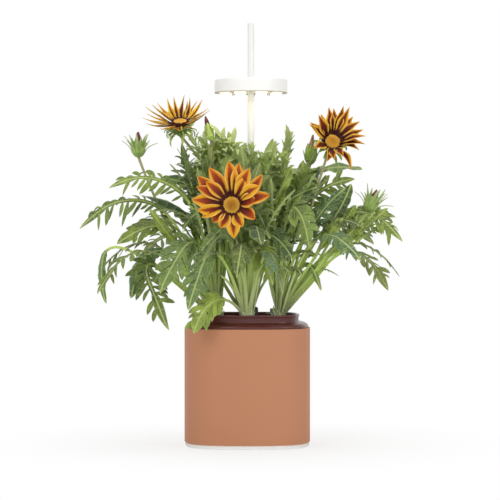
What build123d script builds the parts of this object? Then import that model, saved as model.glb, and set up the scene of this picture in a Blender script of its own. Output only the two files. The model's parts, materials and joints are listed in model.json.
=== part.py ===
from build123d import *
import math
import os

os.makedirs("parts", exist_ok=True)

# Countertop hydroponic garden, in millimetres. The origin is on the table under the middle of the pot,
# +Z is up and the front faces -Y. A wired base and a sleeve stand still; the reservoir pot lifts out of
# them, the planting deck lifts out of the pot, the mast pulls out of its socket, and the lamp head slides
# on the mast.

# Plan outline shared by the sleeve, the base and the pot: four shallow arcs with tangent corner arcs
body_half = 69.0
side_radius = 170.0
corner_radius = 38.0

# Base
foot_radius = 7.0
foot_height = 1.0
foot_margin = 7.6
tray_inset = 0.8
tray_floor = 2.2
tray_wall = 2.0
flange_height = 3.7
bay_height = 18.8
cover_thickness = 2.4
cover_boss_margin = 12.7
cover_boss_radius = 3.5
cover_pilot_radius = 1.5
cover_screw_length = 7.2
screw_gap = 0.1
screw_end_gap = 0.3
screw_head_radius = 2.8
screw_head_height = 1.4
small_head_radius = 2.4

# Control board and power inlet
board_width = 44.0
board_side_gap = 5.5
board_rear_gap = 13.0
board_thickness = 1.6
board_hole_margin = 1.4
standoff_height = 3.0
standoff_radius = 2.6
chip_size = 10.0
chip_height = 1.4
chip_end_gap = 12.0
driver_size = 6.0
driver_height = 1.2
driver_place = 8.0
can_radius = 3.2
can_height = 7.5
can_spacing = 8.0
can_end_gap = 7.0
can_place = 6.0
inlet_tongue_width = 6.0
inlet_tongue_thickness = 0.7
inlet_width = 12.0
inlet_height = 6.0
inlet_depth = 14.0
inlet_mouth_width = 9.0
inlet_mouth_height = 3.2
inlet_mouth_depth = 7.0
inlet_recess = 2.0
inlet_gap = 0.5
notch_width = 18.0
notch_margin = 1.5

# Sleeve
sleeve_height = 124.5
sleeve_wall = 2.5
sleeve_gap = 0.3
sleeve_edge = 0.9

# Reservoir pot
pot_gap = 0.8
rest_gap = 0.3
pot_wall = 2.2
pot_floor = 2.5
shoulder_edge_inset = 2.0
shoulder_edge_height = 0.9
shoulder_rise = 5.3
neck_inset = 12.6
neck_height = 8.2
neck_wall = 2.2
lip_height = 2.4
lip_reach = 0.8
ledge_reach = 3.0
ledge_height = 2.8
ledge_depth = 12.6
shoulder_wall = 2.5
shoulder_steps = 4
collar_spigot_height = 4.0
collar_spigot_wall = 1.2
collar_gap = 0.05

# Mast, socket and the dry standpipe round it
mast_x = 4.0
mast_radius = 3.65
mast_wall = 0.8
mast_top = 463.9
cap_height = 1.9
cap_edge = 1.2
spigot_length = 10.0
spigot_gap = 0.05
foot_plug_length = 15.0
strip_width = 1.0
strip_depth = 0.4
strip_sink = 0.3
strip_place = 1.2
strip_margin = 12.0
socket_radius = 6.3
socket_wall_gap = 0.2
socket_flange_radius = 8.5
socket_flange_height = 1.5
socket_height = 13.6
socket_floor = 4.0
pin_radius = 0.6
pin_place = 1.4
pin_height = 3.5
column_gap = 0.7
column_wall = 2.0
column_drop = 14.4
column_flange_reach = 3.0
column_flange_height = 1.5

# Planting deck
deck_gap = 0.5
deck_thickness = 2.4
skirt_gap = 0.3
skirt_wall = 1.6
skirt_drop = 30.0
mast_bore_gap = 0.35
boss_radius = 8.0
boss_height = 13.3
grommet_radius = 6.0
grommet_depth = 6.0
grommet_flange_radius = 7.0
grommet_flange_height = 1.2
running_gap = 0.1
port_margin = 8.95
port_radius = 8.0
port_collar_wall = 2.0
port_collar_height = 3.3
float_radius = 6.2
float_gap = 0.3
float_tube_wall = 1.0
float_tube_stand = 33.2
float_height = 20.0
float_headroom = 26.0
float_stem_radius = 1.5
float_knob_radius = 3.2
float_knob_height = 6.0
cap_plug_depth = 4.0
cap_disc_reach = 0.5
cap_disc_height = 3.0
cap_grip_length = 13.0
cap_grip_thickness = 3.0
cap_grip_height = 5.0

# Net cups, plugs and wicks; the cups fill the deck between the skirt round the mast and the pot's neck
site_hub_margin = 1.1
site_rim_margin = 3.2
cup_draft = 3.0
cup_gap = 0.4
cup_flange_reach = 2.5
cup_flange_height = 1.5
cup_depth = 38.7
cup_wall = 1.2
cup_slots = 6
cup_slot_width = 2.5
cup_slot_margin = 6.0
plug_gap = 0.4
plug_rise = 1.0
wick_radius = 2.5
wick_hole_gap = 0.5
wick_stand = 6.4

# Lamp head
head_radius = 40.0
light_height = 240.4
head_height = 15.2
head_wall = 2.0
head_edge = 1.6
post_radius = 2.6
post_circle = 30.0
lens_count = 8
lens_plate_recess = 0.8
lens_plate_thickness = 1.8
lens_plate_gap = 0.3
lens_radius = 6.4
lens_flange_reach = 0.8
lens_flange_height = 1.0
lens_drop = 3.0
lens_gap = 0.1
peg_head_radius = 2.2
peg_head_height = 1.9
peg_shank_radius = 1.2
peg_length = 9.0
led_board_radius = 35.5
led_board_thickness = 1.6
led_board_rise = 3.4
led_size = 3.5
led_height = 1.2
hole_gap = 0.4
spreader_radius = 22.0
spreader_thickness = 2.0
board_screw_circle = 18.0
board_screw_radius = 1.3
board_boss_radius = 3.0
bush_radius = 6.3
bush_wall_gap = 0.05
bush_edge = 0.5
bush_drop = 0.8
bush_rise = 1.8
hub_wall = 1.7
wiper_height = 4.0
wiper_inset = 0.4
button_circle = 28.0
button_radius = 4.5
button_edge = 0.5
button_gap = 0.3
button_flange_reach = 1.1
button_flange_height = 0.8
button_stand = 1.4
button_travel = 0.8
switch_size = 6.0

# Plants; leaf_base_share is how far up the crown the leaves and stems spring from
crown_radius = 6.5
crown_tip_radius = 3.5
crown_height = 8.0
leaf_base_share = 0.4
leaf_keel = 0.9
petiole_width = 3.4
stem_radius = 1.5
stem_gap = 0.3
disc_radius = 9.5
disc_rim_height = 2.5
disc_rise = 1.5
petal_half = 2.0
petal_rise = 0.5
calyx_length = 15.0
calyx_radius = 7.5
calyx_waist = 8.0
calyx_drop = 1.5
bud_length = 21.0

# Fuller growth round each plant: leaves near the mast stand tall and steep, those at the rim lie low
filler_count = 10
filler_spread = 98.0
filler_near = 24.0
filler_far = 110.0
filler_tall = 160.0
filler_low = 64.0
filler_near_fall = -34.0
filler_far_fall = 46.0
filler_overhang = 8.0
filler_width = 24.0
filler_width_step = 4.7

# ------------------------------------------------------------------ places that follow from the sizes
side_reach = side_radius - body_half
corner_span = side_radius - corner_radius
corner_centre = (math.sqrt(2 * corner_span**2 - side_reach**2) - side_reach) / 2


def corner_place(inset):
    # x and y of the point on the diagonal that stands inset in from the outline's corner
    return corner_centre + (corner_radius - inset) / math.sqrt(2)


tray_bottom = foot_height
tray_floor_top = tray_bottom + tray_floor
sleeve_bottom = tray_bottom + flange_height
sleeve_top = sleeve_bottom + sleeve_height
tray_outer_inset = sleeve_wall + sleeve_gap
tray_inner_inset = tray_outer_inset + tray_wall
cover_bottom = tray_floor_top + bay_height
cover_top = cover_bottom + cover_thickness
foot_place = corner_place(tray_inset + foot_margin + foot_radius)
cover_boss_place = corner_place(tray_inner_inset + cover_boss_margin + cover_boss_radius)
board_bottom = tray_floor_top + standoff_height
board_top = board_bottom + board_thickness
board_length = 2 * (cover_boss_place - cover_boss_radius - board_side_gap)
board_y = body_half - board_rear_gap - board_width / 2

pot_bottom = cover_top + rest_gap
pot_inset = sleeve_wall + pot_gap
shoulder_bottom = sleeve_top + rest_gap
shoulder_start = shoulder_bottom + shoulder_edge_height
neck_bottom = shoulder_start + shoulder_rise
neck_top = neck_bottom + neck_height
cavity_inset = pot_inset + pot_wall
neck_inner_inset = neck_inset + neck_wall
ledge_inset = neck_inner_inset + ledge_reach
ledge_top = neck_top - ledge_depth + ledge_height
ledge_bottom = ledge_top - ledge_height
cavity_top = shoulder_bottom - shoulder_wall
pot_floor_top = pot_bottom + pot_floor
column_inner = socket_radius + column_gap
column_outer = column_inner + column_wall

deck_bottom = ledge_top + rest_gap
deck_top = deck_bottom + deck_thickness
deck_inset = neck_inner_inset + deck_gap
column_top = deck_bottom - column_drop
skirt_inner = column_outer + skirt_gap
skirt_outer = skirt_inner + skirt_wall
boss_top = deck_top + boss_height
port_collar_radius = port_radius + port_collar_wall
port_place = corner_place(neck_inner_inset + port_margin + port_collar_radius)
port_top = deck_top + port_collar_height
site_inner = mast_x + skirt_outer + site_hub_margin
site_outer = body_half - neck_inner_inset - site_rim_margin
site_radius = (site_inner + site_outer) / 2
cup_radius = (site_outer - site_inner) / 2 - cup_flange_reach
cup_bottom_radius = cup_radius - cup_draft
cup_bottom = deck_top - cup_depth
flange_top = deck_top + cup_flange_height
plug_top = deck_top + plug_rise
crown_top = plug_top + crown_height
leaf_base = plug_top + crown_height * leaf_base_share

socket_bottom = cover_bottom
socket_top = socket_bottom + socket_height + cover_thickness
pin_bottom = socket_bottom + socket_floor
mast_bottom = pin_bottom + pin_height + rest_gap
tube_bottom = mast_bottom + foot_plug_length
tube_top = mast_top - cap_height
tube_inner = mast_radius - mast_wall

head_bottom = crown_top + light_height
head_top = head_bottom + head_height
head_ceiling = head_top - head_wall
lens_plate_bottom = head_bottom + lens_plate_recess
lens_plate_top = lens_plate_bottom + lens_plate_thickness
led_board_bottom = lens_plate_top + led_board_rise
led_board_top = led_board_bottom + led_board_thickness
spreader_top = led_board_top + spreader_thickness
hub_radius = bush_radius + bush_wall_gap + hub_wall
lens_step = 360 / lens_count
button_angle = math.radians(lens_step / 2 - 90)
button_x = button_circle * math.cos(button_angle)
button_y = button_circle * math.sin(button_angle)


# ------------------------------------------------------------------ shapes used by many pieces
def outline(inset):
    # the plan outline moved in by inset: every arc keeps its centre and loses that much radius
    bend = math.degrees(math.asin(corner_centre / corner_span))
    edges = []
    for turn in (0, 90, 180, 270):
        side = CenterArc((-side_reach, 0), side_radius - inset, -bend, 2 * bend)
        corner = CenterArc((corner_centre, corner_centre), corner_radius - inset, bend, 90 - 2 * bend)
        edges += [side.rotate(Axis.Z, turn), corner.rotate(Axis.Z, turn)]
    return Face(Wire(edges))


def slab(inset, low, high):
    return extrude(Pos(0, 0, low) * outline(inset), high - low)


def rod(x, y, low, high, radius):
    return Pos(x, y, (low + high) / 2) * Cylinder(radius, high - low)


def tube(x, y, low, high, outer, inner):
    return rod(x, y, low, high, outer) - rod(x, y, low, high, inner)


def block(x, y, low, high, length, width):
    return Pos(x, y, (low + high) / 2) * Box(length, width, high - low)


def turned(points):
    # a solid of revolution about Z from its half section, given as (radius, height) corners
    return revolve(make_face(Polyline([(r, 0, z) for r, z in points], close=True)), Axis.Z)


def on_circle(radius, count, start=0.0):
    angles = [math.radians(start + 360 * i / count) for i in range(count)]
    return [(radius * math.cos(a), radius * math.sin(a)) for a in angles]


def corners(place_x, place_y):
    return [(sx * place_x, sy * place_y) for sx in (-1, 1) for sy in (-1, 1)]


def cut(solid, tools):
    for tool in tools:
        solid = solid - tool
    return solid


def join(solid, pieces):
    for piece in pieces:
        solid = solid + piece
    return solid


def write(name, pieces):
    pieces = pieces if isinstance(pieces, list) else [pieces]
    solids = [s for piece in pieces for s in piece.solids()]
    export_step(solids[0] if len(solids) == 1 else Compound(children=solids), f"parts/{name}.step")


# ------------------------------------------------------------------ base
def base_tray():
    tray = slab(tray_inset, tray_bottom, sleeve_bottom)
    tray += slab(tray_outer_inset, sleeve_bottom, cover_bottom)
    tray -= slab(tray_inner_inset, tray_floor_top, cover_bottom)
    bosses = [rod(x, y, tray_floor_top, cover_bottom, cover_boss_radius)
              for x, y in corners(cover_boss_place, cover_boss_place)]
    bores = [rod(x, y, tray_floor_top + tray_wall, cover_bottom, cover_pilot_radius)
             for x, y in corners(cover_boss_place, cover_boss_place)]
    standoffs = [tube(x, y, tray_floor_top, board_bottom, standoff_radius, board_screw_radius + screw_gap)
                 for x, y in board_holes()]
    tray = cut(join(tray, bosses + standoffs), bores)
    return tray - inlet_hole(inlet_width + 2 * inlet_gap, inlet_gap)


def board_holes():
    inset = standoff_radius + board_hole_margin
    return [(x, y + board_y) for x, y in corners(board_length / 2 - inset, board_width / 2 - inset)]


def inlet_hole(width, margin):
    # the way through the tray's wall and the sleeve for the power inlet
    low, high = board_top - margin, board_top + inlet_height + margin
    return block(0, body_half, low, high, width, 2 * (tray_inner_inset + tray_wall))


def bay_cover():
    cover = slab(tray_outer_inset, cover_bottom, cover_top)
    holes = [rod(mast_x, 0, cover_bottom, cover_top, socket_radius + socket_wall_gap)]
    for x, y in corners(cover_boss_place, cover_boss_place):
        holes.append(rod(x, y, cover_bottom, cover_top, cover_pilot_radius + screw_gap))
        holes.append(rod(x, y, cover_top - screw_head_height, cover_top, screw_head_radius + screw_gap))
    return cut(cover, holes)


def cover_screws():
    shank_bottom = cover_bottom - cover_screw_length
    neck = cover_top - screw_head_height
    return [rod(x, y, shank_bottom, neck, cover_pilot_radius - screw_gap)
            + rod(x, y, neck, cover_top, screw_head_radius)
            for x, y in corners(cover_boss_place, cover_boss_place)]


def rubber_feet():
    # four feet near the corners and a fifth under the middle
    return [rod(x, y, 0, foot_height, foot_radius) for x, y in corners(foot_place, foot_place) + [(0, 0)]]


def outer_sleeve():
    sleeve = slab(0, sleeve_bottom, sleeve_top)
    sleeve = fillet(sleeve.faces().sort_by(Axis.Z)[-1].edges(), sleeve_edge)
    sleeve -= slab(sleeve_wall, sleeve_bottom, sleeve_top)
    notch_top = board_top + inlet_height + notch_margin
    notch_depth = 4 * sleeve_wall
    return sleeve - block(0, body_half, sleeve_bottom, notch_top, notch_width, notch_depth)


def control_board():
    board = block(0, board_y, board_bottom, board_top, board_length, board_width)
    return cut(board, [rod(x, y, board_bottom, board_top, board_screw_radius + screw_gap)
                       for x, y in board_holes()])


def board_parts():
    # a controller, the lamp's driver and two capacitors
    half = board_length / 2
    chips = [block(chip_end_gap + chip_size / 2 - half, board_y - chip_size / 2, board_top,
                   board_top + chip_height, chip_size, chip_size),
             block(driver_place, board_y - driver_place, board_top, board_top + driver_height,
                   driver_size, driver_size)]
    cans = [rod(half - can_end_gap - i * can_spacing, board_y + can_place, board_top, board_top + can_height,
                can_radius) for i in range(2)]
    return chips + cans


def board_screws():
    return [rod(x, y, tray_floor_top + screw_end_gap, board_top, board_screw_radius)
            + rod(x, y, board_top, board_top + screw_head_height, small_head_radius)
            for x, y in board_holes()]


def power_inlet():
    mouth_y = body_half - inlet_recess
    middle = board_top + inlet_height / 2
    shell = block(0, mouth_y - inlet_depth / 2, board_top, board_top + inlet_height, inlet_width, inlet_depth)
    slot = SlotOverall(inlet_mouth_width, inlet_mouth_height)
    mouth = extrude(Pos(0, mouth_y, middle) * Rot(90, 0, 0) * slot, inlet_mouth_depth)
    tongue = block(0, mouth_y - inlet_mouth_depth / 2, middle - inlet_tongue_thickness / 2,
                   middle + inlet_tongue_thickness / 2, inlet_tongue_width, inlet_mouth_depth)
    return shell - mouth + tongue


def power_socket():
    body = rod(mast_x, 0, socket_bottom, socket_top, socket_radius)
    body += rod(mast_x, 0, socket_bottom - socket_flange_height, socket_bottom, socket_flange_radius)
    return body - rod(mast_x, 0, pin_bottom, socket_top, mast_radius + socket_wall_gap)


def socket_pins():
    return [rod(mast_x + side * pin_place, 0, pin_bottom, pin_bottom + pin_height, pin_radius)
            for side in (-1, 1)]


# ------------------------------------------------------------------ reservoir pot
def reservoir_pot():
    # the tank: its walls end where the collar begins
    tank = slab(pot_inset, pot_bottom, cavity_top)
    tank -= slab(cavity_inset, pot_floor_top, cavity_top)
    return tank - rod(mast_x, 0, pot_bottom, pot_floor_top, column_outer + collar_gap)


def mast_standpipe():
    # the dry way through the water for the mast, with a flange bonded to the tank's floor
    pipe = rod(mast_x, 0, pot_bottom, column_top, column_outer)
    pipe += rod(mast_x, 0, pot_floor_top, pot_floor_top + column_flange_height, column_outer + column_flange_reach)
    return pipe - rod(mast_x, 0, pot_bottom, column_top, column_inner)


def rim_collar():
    # the shoulder and the neck, with a spigot that stands inside the tank's wall
    shoulder_width = neck_inset - shoulder_edge_inset
    body = slab(pot_inset, cavity_top, shoulder_bottom)
    body += slab(shoulder_edge_inset, shoulder_bottom, shoulder_start)
    rings = []
    for i in range(shoulder_steps + 1):
        angle = math.pi / 2 * i / shoulder_steps
        inset = shoulder_edge_inset + shoulder_width * (1 - math.cos(angle))
        rings.append(Pos(0, 0, shoulder_start + shoulder_rise * math.sin(angle)) * outline(inset))
    body += loft(rings, ruled=True)
    body += slab(neck_inset, neck_bottom, neck_top - lip_height)
    lip = slab(neck_inset - lip_reach, neck_top - lip_height, neck_top)
    body += fillet(lip.faces().sort_by(Axis.Z)[-1].edges(), lip_reach)
    spigot_inset = cavity_inset + collar_gap
    body += slab(spigot_inset, cavity_top - collar_spigot_height, cavity_top)
    inner = spigot_inset + collar_spigot_wall
    body -= slab(inner, cavity_top - collar_spigot_height, cavity_top)
    body -= loft([Pos(0, 0, cavity_top) * outline(inner), Pos(0, 0, ledge_bottom) * outline(ledge_inset)],
                 ruled=True)
    body -= slab(ledge_inset, ledge_bottom, ledge_top)
    return body - slab(neck_inner_inset, ledge_top, neck_top)


# ------------------------------------------------------------------ planting deck
sites = {"front": (0.0, -site_radius), "right": (site_radius, 0.0),
         "back": (0.0, site_radius), "left": (-site_radius, 0.0)}


def planting_deck():
    deck = slab(deck_inset, deck_bottom, deck_top)
    float_inner = float_radius + float_gap
    deck += tube(mast_x, 0, deck_bottom - skirt_drop, deck_bottom, skirt_outer, skirt_inner)
    deck += rod(mast_x, 0, deck_top, boss_top, boss_radius)
    deck += rod(port_place, port_place, deck_top, port_top, port_collar_radius)
    deck += tube(-port_place, port_place, pot_floor_top + float_tube_stand, deck_bottom,
                 float_inner + float_tube_wall, float_inner)
    holes = [rod(x, y, deck_bottom, deck_top, cup_radius + cup_gap) for x, y in sites.values()]
    holes.append(rod(mast_x, 0, deck_bottom, boss_top, mast_radius + mast_bore_gap))
    holes.append(rod(mast_x, 0, boss_top - grommet_depth, boss_top, grommet_radius))
    holes.append(rod(port_place, port_place, deck_bottom, port_top, port_radius))
    holes.append(rod(-port_place, port_place, deck_bottom, deck_top, float_stem_radius + float_gap))
    return cut(deck, holes)


def mast_grommet():
    body = rod(mast_x, 0, boss_top - grommet_depth, boss_top, grommet_radius)
    body += rod(mast_x, 0, boss_top, boss_top + grommet_flange_height, grommet_flange_radius)
    return body - rod(mast_x, 0, boss_top - grommet_depth, boss_top + grommet_flange_height,
                      mast_radius + running_gap)


def cup_inner(z):
    # inner radius of a cup at height z
    share = (z - cup_bottom) / cup_depth
    return cup_bottom_radius - cup_wall + share * (cup_radius - cup_bottom_radius)


def net_cup(x, y):
    floor_top = cup_bottom + cup_wall
    cup = turned([(0, cup_bottom), (cup_bottom_radius, cup_bottom), (cup_radius, deck_top),
                  (cup_radius + cup_flange_reach, deck_top), (cup_radius + cup_flange_reach, flange_top),
                  (cup_inner(flange_top), flange_top), (cup_inner(floor_top), floor_top), (0, floor_top)])
    slot_low, slot_high = floor_top + cup_slot_margin, deck_bottom - cup_slot_margin
    slot = block(cup_radius / 2 + cup_wall, 0, slot_low, slot_high, cup_radius, cup_slot_width)
    cup -= rod(0, 0, cup_bottom, floor_top, wick_radius + wick_hole_gap)
    cup = cut(cup, [slot.rotate(Axis.Z, 360 * (i + 0.5) / cup_slots) for i in range(cup_slots)])
    return Pos(x, y, 0) * cup


def grow_plug(x, y):
    bottom = cup_bottom + cup_wall + rest_gap
    return Pos(x, y, 0) * turned([(0, bottom), (cup_inner(bottom) - plug_gap, bottom),
                                  (cup_inner(plug_top) - plug_gap, plug_top), (0, plug_top)])


def wick(x, y):
    return rod(x, y, pot_floor_top + wick_stand, cup_bottom + cup_wall + rest_gap, wick_radius)


def fill_cap():
    disc_bottom = port_top + rest_gap
    disc_top = disc_bottom + cap_disc_height
    cap = rod(0, 0, port_top - cap_plug_depth, disc_bottom, port_radius - rest_gap)
    cap += rod(0, 0, disc_bottom, disc_top, port_collar_radius + cap_disc_reach)
    grip = block(0, 0, disc_top, disc_top + cap_grip_height, cap_grip_length, cap_grip_thickness)
    return Pos(port_place, port_place, 0) * (cap + grip.rotate(Axis.Z, -45))


def float_gauge():
    float_top = deck_bottom - float_headroom
    knob_bottom = deck_top + rest_gap
    gauge = rod(0, 0, float_top - float_height, float_top, float_radius)
    gauge += rod(0, 0, float_top, knob_bottom, float_stem_radius)
    gauge += rod(0, 0, knob_bottom, knob_bottom + float_knob_height, float_knob_radius)
    return Pos(-port_place, port_place, 0) * gauge


# ------------------------------------------------------------------ mast
def strip_shape(low, high, depth):
    # two flat conductor strips let into the back of the mast
    y = mast_radius - strip_depth - strip_sink + depth / 2
    return [block(mast_x + side * strip_place, y, low, high, strip_width, depth) for side in (-1, 1)]


def mast_tube():
    body = tube(mast_x, 0, tube_bottom, tube_top, mast_radius, tube_inner)
    # the grooves run out through the tube's surface
    return cut(body, strip_shape(tube_bottom + strip_margin, tube_top - strip_margin, mast_radius))


def conductor_strips():
    return strip_shape(tube_bottom + strip_margin, tube_top - strip_margin, strip_depth)


def mast_foot_plug():
    return (rod(mast_x, 0, mast_bottom, tube_bottom, mast_radius)
            + rod(mast_x, 0, tube_bottom, tube_bottom + spigot_length, tube_inner - spigot_gap))


def mast_cap():
    head = rod(mast_x, 0, tube_top, mast_top, mast_radius)
    head = fillet(head.faces().sort_by(Axis.Z)[-1].edges(), cap_edge)
    return head + rod(mast_x, 0, tube_top - spigot_length, tube_top, tube_inner - spigot_gap)


# ------------------------------------------------------------------ lamp head
def lamp_housing():
    shell = rod(0, 0, head_bottom, head_top, head_radius)
    shell = fillet(shell.faces().sort_by(Axis.Z)[-1].edges(), head_edge)
    shell -= rod(0, 0, head_bottom, head_ceiling, head_radius - head_wall)
    posts = [rod(x, y, lens_plate_top, head_ceiling, post_radius) for x, y in on_circle(post_circle, lens_count)]
    bosses = [rod(x, y, spreader_top, head_ceiling, board_boss_radius)
              for x, y in on_circle(board_screw_circle, 4, 45)]
    hub = rod(0, 0, lens_plate_top, head_ceiling, hub_radius)
    holes = [rod(x, y, lens_plate_top, lens_plate_top + peg_length, peg_shank_radius + screw_gap)
             for x, y in on_circle(post_circle, lens_count)]
    holes += [rod(x, y, spreader_top, head_ceiling, board_screw_radius + screw_gap)
              for x, y in on_circle(board_screw_circle, 4, 45)]
    holes.append(rod(0, 0, lens_plate_top, head_top, bush_radius + bush_wall_gap))
    holes.append(rod(button_x, button_y, head_ceiling, head_top, button_radius + button_gap))
    return Pos(mast_x, 0, 0) * cut(join(shell, posts + bosses + [hub]), holes)


def slide_bush():
    low, high = head_bottom - bush_drop, head_top + bush_rise
    bush = fillet(rod(0, 0, low, high, bush_radius).edges().filter_by(GeomType.CIRCLE), bush_edge)
    bush -= rod(0, 0, low, high, mast_radius + running_gap)
    window = block(0, mast_radius + bush_radius / 2, led_board_top, led_board_top + wiper_height,
                   2 * (strip_place + strip_width), bush_radius)
    return Pos(mast_x, 0, 0) * (bush - window)


def wiper_contacts():
    inner = mast_radius + running_gap
    width = bush_radius - inner - wiper_inset
    return [block(mast_x + side * strip_place, inner + width / 2, led_board_top + screw_gap,
                  led_board_top + wiper_height - screw_gap, strip_width, width) for side in (-1, 1)]


def led_disc(low, high, radius, post_holes):
    disc = rod(0, 0, low, high, radius) - rod(0, 0, low, high, hub_radius + hole_gap)
    holes = [rod(x, y, low, high, board_screw_radius + screw_gap) for x, y in on_circle(board_screw_circle, 4, 45)]
    if post_holes:
        holes += [rod(x, y, low, high, post_radius + hole_gap) for x, y in on_circle(post_circle, lens_count)]
    return Pos(mast_x, 0, 0) * cut(disc, holes)


def leds():
    return [block(mast_x + x, y, led_board_bottom - led_height, led_board_bottom, led_size, led_size)
            for x, y in on_circle(post_circle, lens_count, lens_step / 2)]


def led_board_screws():
    return [rod(mast_x + x, y, led_board_bottom, head_ceiling - screw_end_gap, board_screw_radius)
            + rod(mast_x + x, y, led_board_bottom - screw_head_height, led_board_bottom, small_head_radius)
            for x, y in on_circle(board_screw_circle, 4, 45)]


def lens_plate():
    plate = rod(0, 0, lens_plate_bottom, lens_plate_top, head_radius - head_wall - lens_plate_gap)
    holes = [rod(x, y, lens_plate_bottom, lens_plate_top, lens_radius + lens_gap)
             for x, y in on_circle(post_circle, lens_count, lens_step / 2)]
    holes += [rod(x, y, lens_plate_bottom, lens_plate_top, peg_shank_radius + screw_gap)
              for x, y in on_circle(post_circle, lens_count)]
    holes.append(rod(0, 0, lens_plate_bottom, lens_plate_top, bush_radius + hole_gap))
    return Pos(mast_x, 0, 0) * cut(plate, holes)


def lens_pods():
    bottom = head_bottom - lens_drop
    pod = fillet(rod(0, 0, bottom, lens_plate_top, lens_radius).faces().sort_by(Axis.Z)[0].edges(), lens_drop)
    pod += rod(0, 0, lens_plate_top, lens_plate_top + lens_flange_height, lens_radius + lens_flange_reach)
    return [Pos(mast_x + x, y, 0) * pod for x, y in on_circle(post_circle, lens_count, lens_step / 2)]


def lens_plate_pegs():
    return [rod(mast_x + x, y, lens_plate_bottom, lens_plate_top + peg_length, peg_shank_radius)
            + rod(mast_x + x, y, lens_plate_bottom - peg_head_height, lens_plate_bottom, peg_head_radius)
            for x, y in on_circle(post_circle, lens_count)]


def timer_button():
    flange_top_z = head_ceiling - rest_gap
    button = rod(0, 0, flange_top_z, head_top + button_stand, button_radius)
    button = fillet(button.faces().sort_by(Axis.Z)[-1].edges(), button_edge)
    button += rod(0, 0, flange_top_z - button_flange_height, flange_top_z, button_radius + button_flange_reach)
    return Pos(mast_x + button_x, button_y, 0) * button


def timer_switch():
    top = head_ceiling - rest_gap - button_flange_height - button_travel - rest_gap
    return block(mast_x + button_x, button_y, led_board_top, top, switch_size, switch_size)


# ------------------------------------------------------------------ plants
def point_on(start, middle, end, t):
    # a quadratic curve from start to end that passes through middle, at the share of its length there
    first, second = (middle - start).length, (end - middle).length
    m = first / (first + second)
    control = (middle - start * (1 - m) ** 2 - end * m**2) / (2 * m * (1 - m))
    return start * (1 - t) ** 2 + control * (2 * t * (1 - t)) + end * t**2


def prism_along(sections):
    # a closed solid with flat three-cornered faces through rings of points
    count = len(sections[0])
    faces = [Face(Wire.make_polygon(sections[0])), Face(Wire.make_polygon(sections[-1]))]
    for near, far in zip(sections, sections[1:]):
        for i in range(count):
            j = (i + 1) % count
            faces.append(Face(Wire.make_polygon([near[i], near[j], far[j]])))
            faces.append(Face(Wire.make_polygon([near[i], far[j], far[i]])))
    solid = Solid(Shell(faces))
    return solid if solid.volume > 0 else Solid(Shell([-face for face in faces]))


def frames_along(start, middle, end, shares, face):
    # at each share of the curve its point, the way across that faces face, and the way below; a frame never
    # turns over from one share to the next
    frames = []
    step = 0.01
    across = None
    for t in shares:
        ahead = (point_on(start, middle, end, t + step) - point_on(start, middle, end, t - step)).normalized()
        side = ahead.cross(face).normalized()
        across = side if across is None or side.dot(across) > 0 else side * -1
        frames.append((point_on(start, middle, end, t), across, ahead.cross(across)))
    return frames


def leaf(start, middle, end, width, blade, face):
    # a stalk in two lengths, then a blade in two parts that meet at the waist between its lobes, so that
    # each solid is nearly straight; the blade swells from lobe to lobe and the keel is its midrib
    lobes = [(0.14, 0.36), (0.30, 0.9), (0.42, 0.5), (0.60, 1.0), (0.74, 0.55), (0.86, 0.66), (1.0, 0.08)]
    stations = [(blade * i / 6, petiole_width) for i in range(7)]
    stations += [(blade + (1 - blade) * t, width * share) for t, share in lobes]
    stalk_middle, blade_start, waist = 3, 6, 9
    frames = frames_along(start, middle, end, [t for t, size in stations], face)
    sections = [[here + side * (size / 2), here - side * (size / 2), here + below * leaf_keel]
                for (here, side, below), (t, size) in zip(frames, stations)]
    return [prism_along(sections[:stalk_middle + 1]), prism_along(sections[stalk_middle:blade_start + 1]),
            prism_along(sections[blade_start:waist + 1]), prism_along(sections[waist:])]


def stem(start, middle, end):
    # a square stem in two lengths
    sections = []
    for here, side, below in frames_along(start, middle, end, (0, 0.3, 0.6, 0.85, 1.0), Vector(0.2, 1, 0.1)):
        across, other = side * stem_radius, below * stem_radius
        sections.append([here + across, here + other, here - across, here - other])
    return [prism_along(sections[:3]), prism_along(sections[2:])]


def crown(x, y):
    return Pos(x, y, 0) * turned([(0, plug_top), (crown_radius, plug_top), (crown_tip_radius, crown_top),
                                  (0, crown_top)])


def flower(name):
    # a star of petals round a raised disc, on a green calyx; cup lifts the tips towards the way it faces
    radius, petals, cup, notch = flower_sizes[name]
    plane = Plane(origin=bloom_middle(name), z_dir=blooms[name][3])
    disc_base = petal_half
    disc_rim = disc_base + disc_rim_height
    disc_top = disc_rim + disc_rise
    top = plane.from_local_coords(Vector(0, 0, petal_half + petal_rise))
    bottom = plane.from_local_coords(Vector(0, 0, -petal_half))
    rim = []
    for i in range(2 * petals):
        angle = math.pi * i / petals
        reach = radius if i % 2 == 0 else radius * notch
        local = Vector(reach * math.cos(angle), reach * math.sin(angle), cup * reach / radius)
        rim.append(plane.from_local_coords(local))
    faces = []
    for near, far in zip(rim, rim[1:] + rim[:1]):
        faces.append(Face(Wire.make_polygon([top, near, far])))
        faces.append(Face(Wire.make_polygon([bottom, far, near])))
    disc = plane.location * turned([(0, disc_base), (disc_radius, disc_base), (disc_radius, disc_rim),
                                    (disc_radius / 2, disc_top), (0, disc_top)])
    calyx = plane.location * turned([(0, -calyx_length), (stem_radius, -calyx_length),
                                     (calyx_radius * 0.8, -calyx_waist), (calyx_radius, -calyx_drop),
                                     (0, -calyx_drop)])
    return [Solid(Shell(faces)), disc, calyx]


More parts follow.
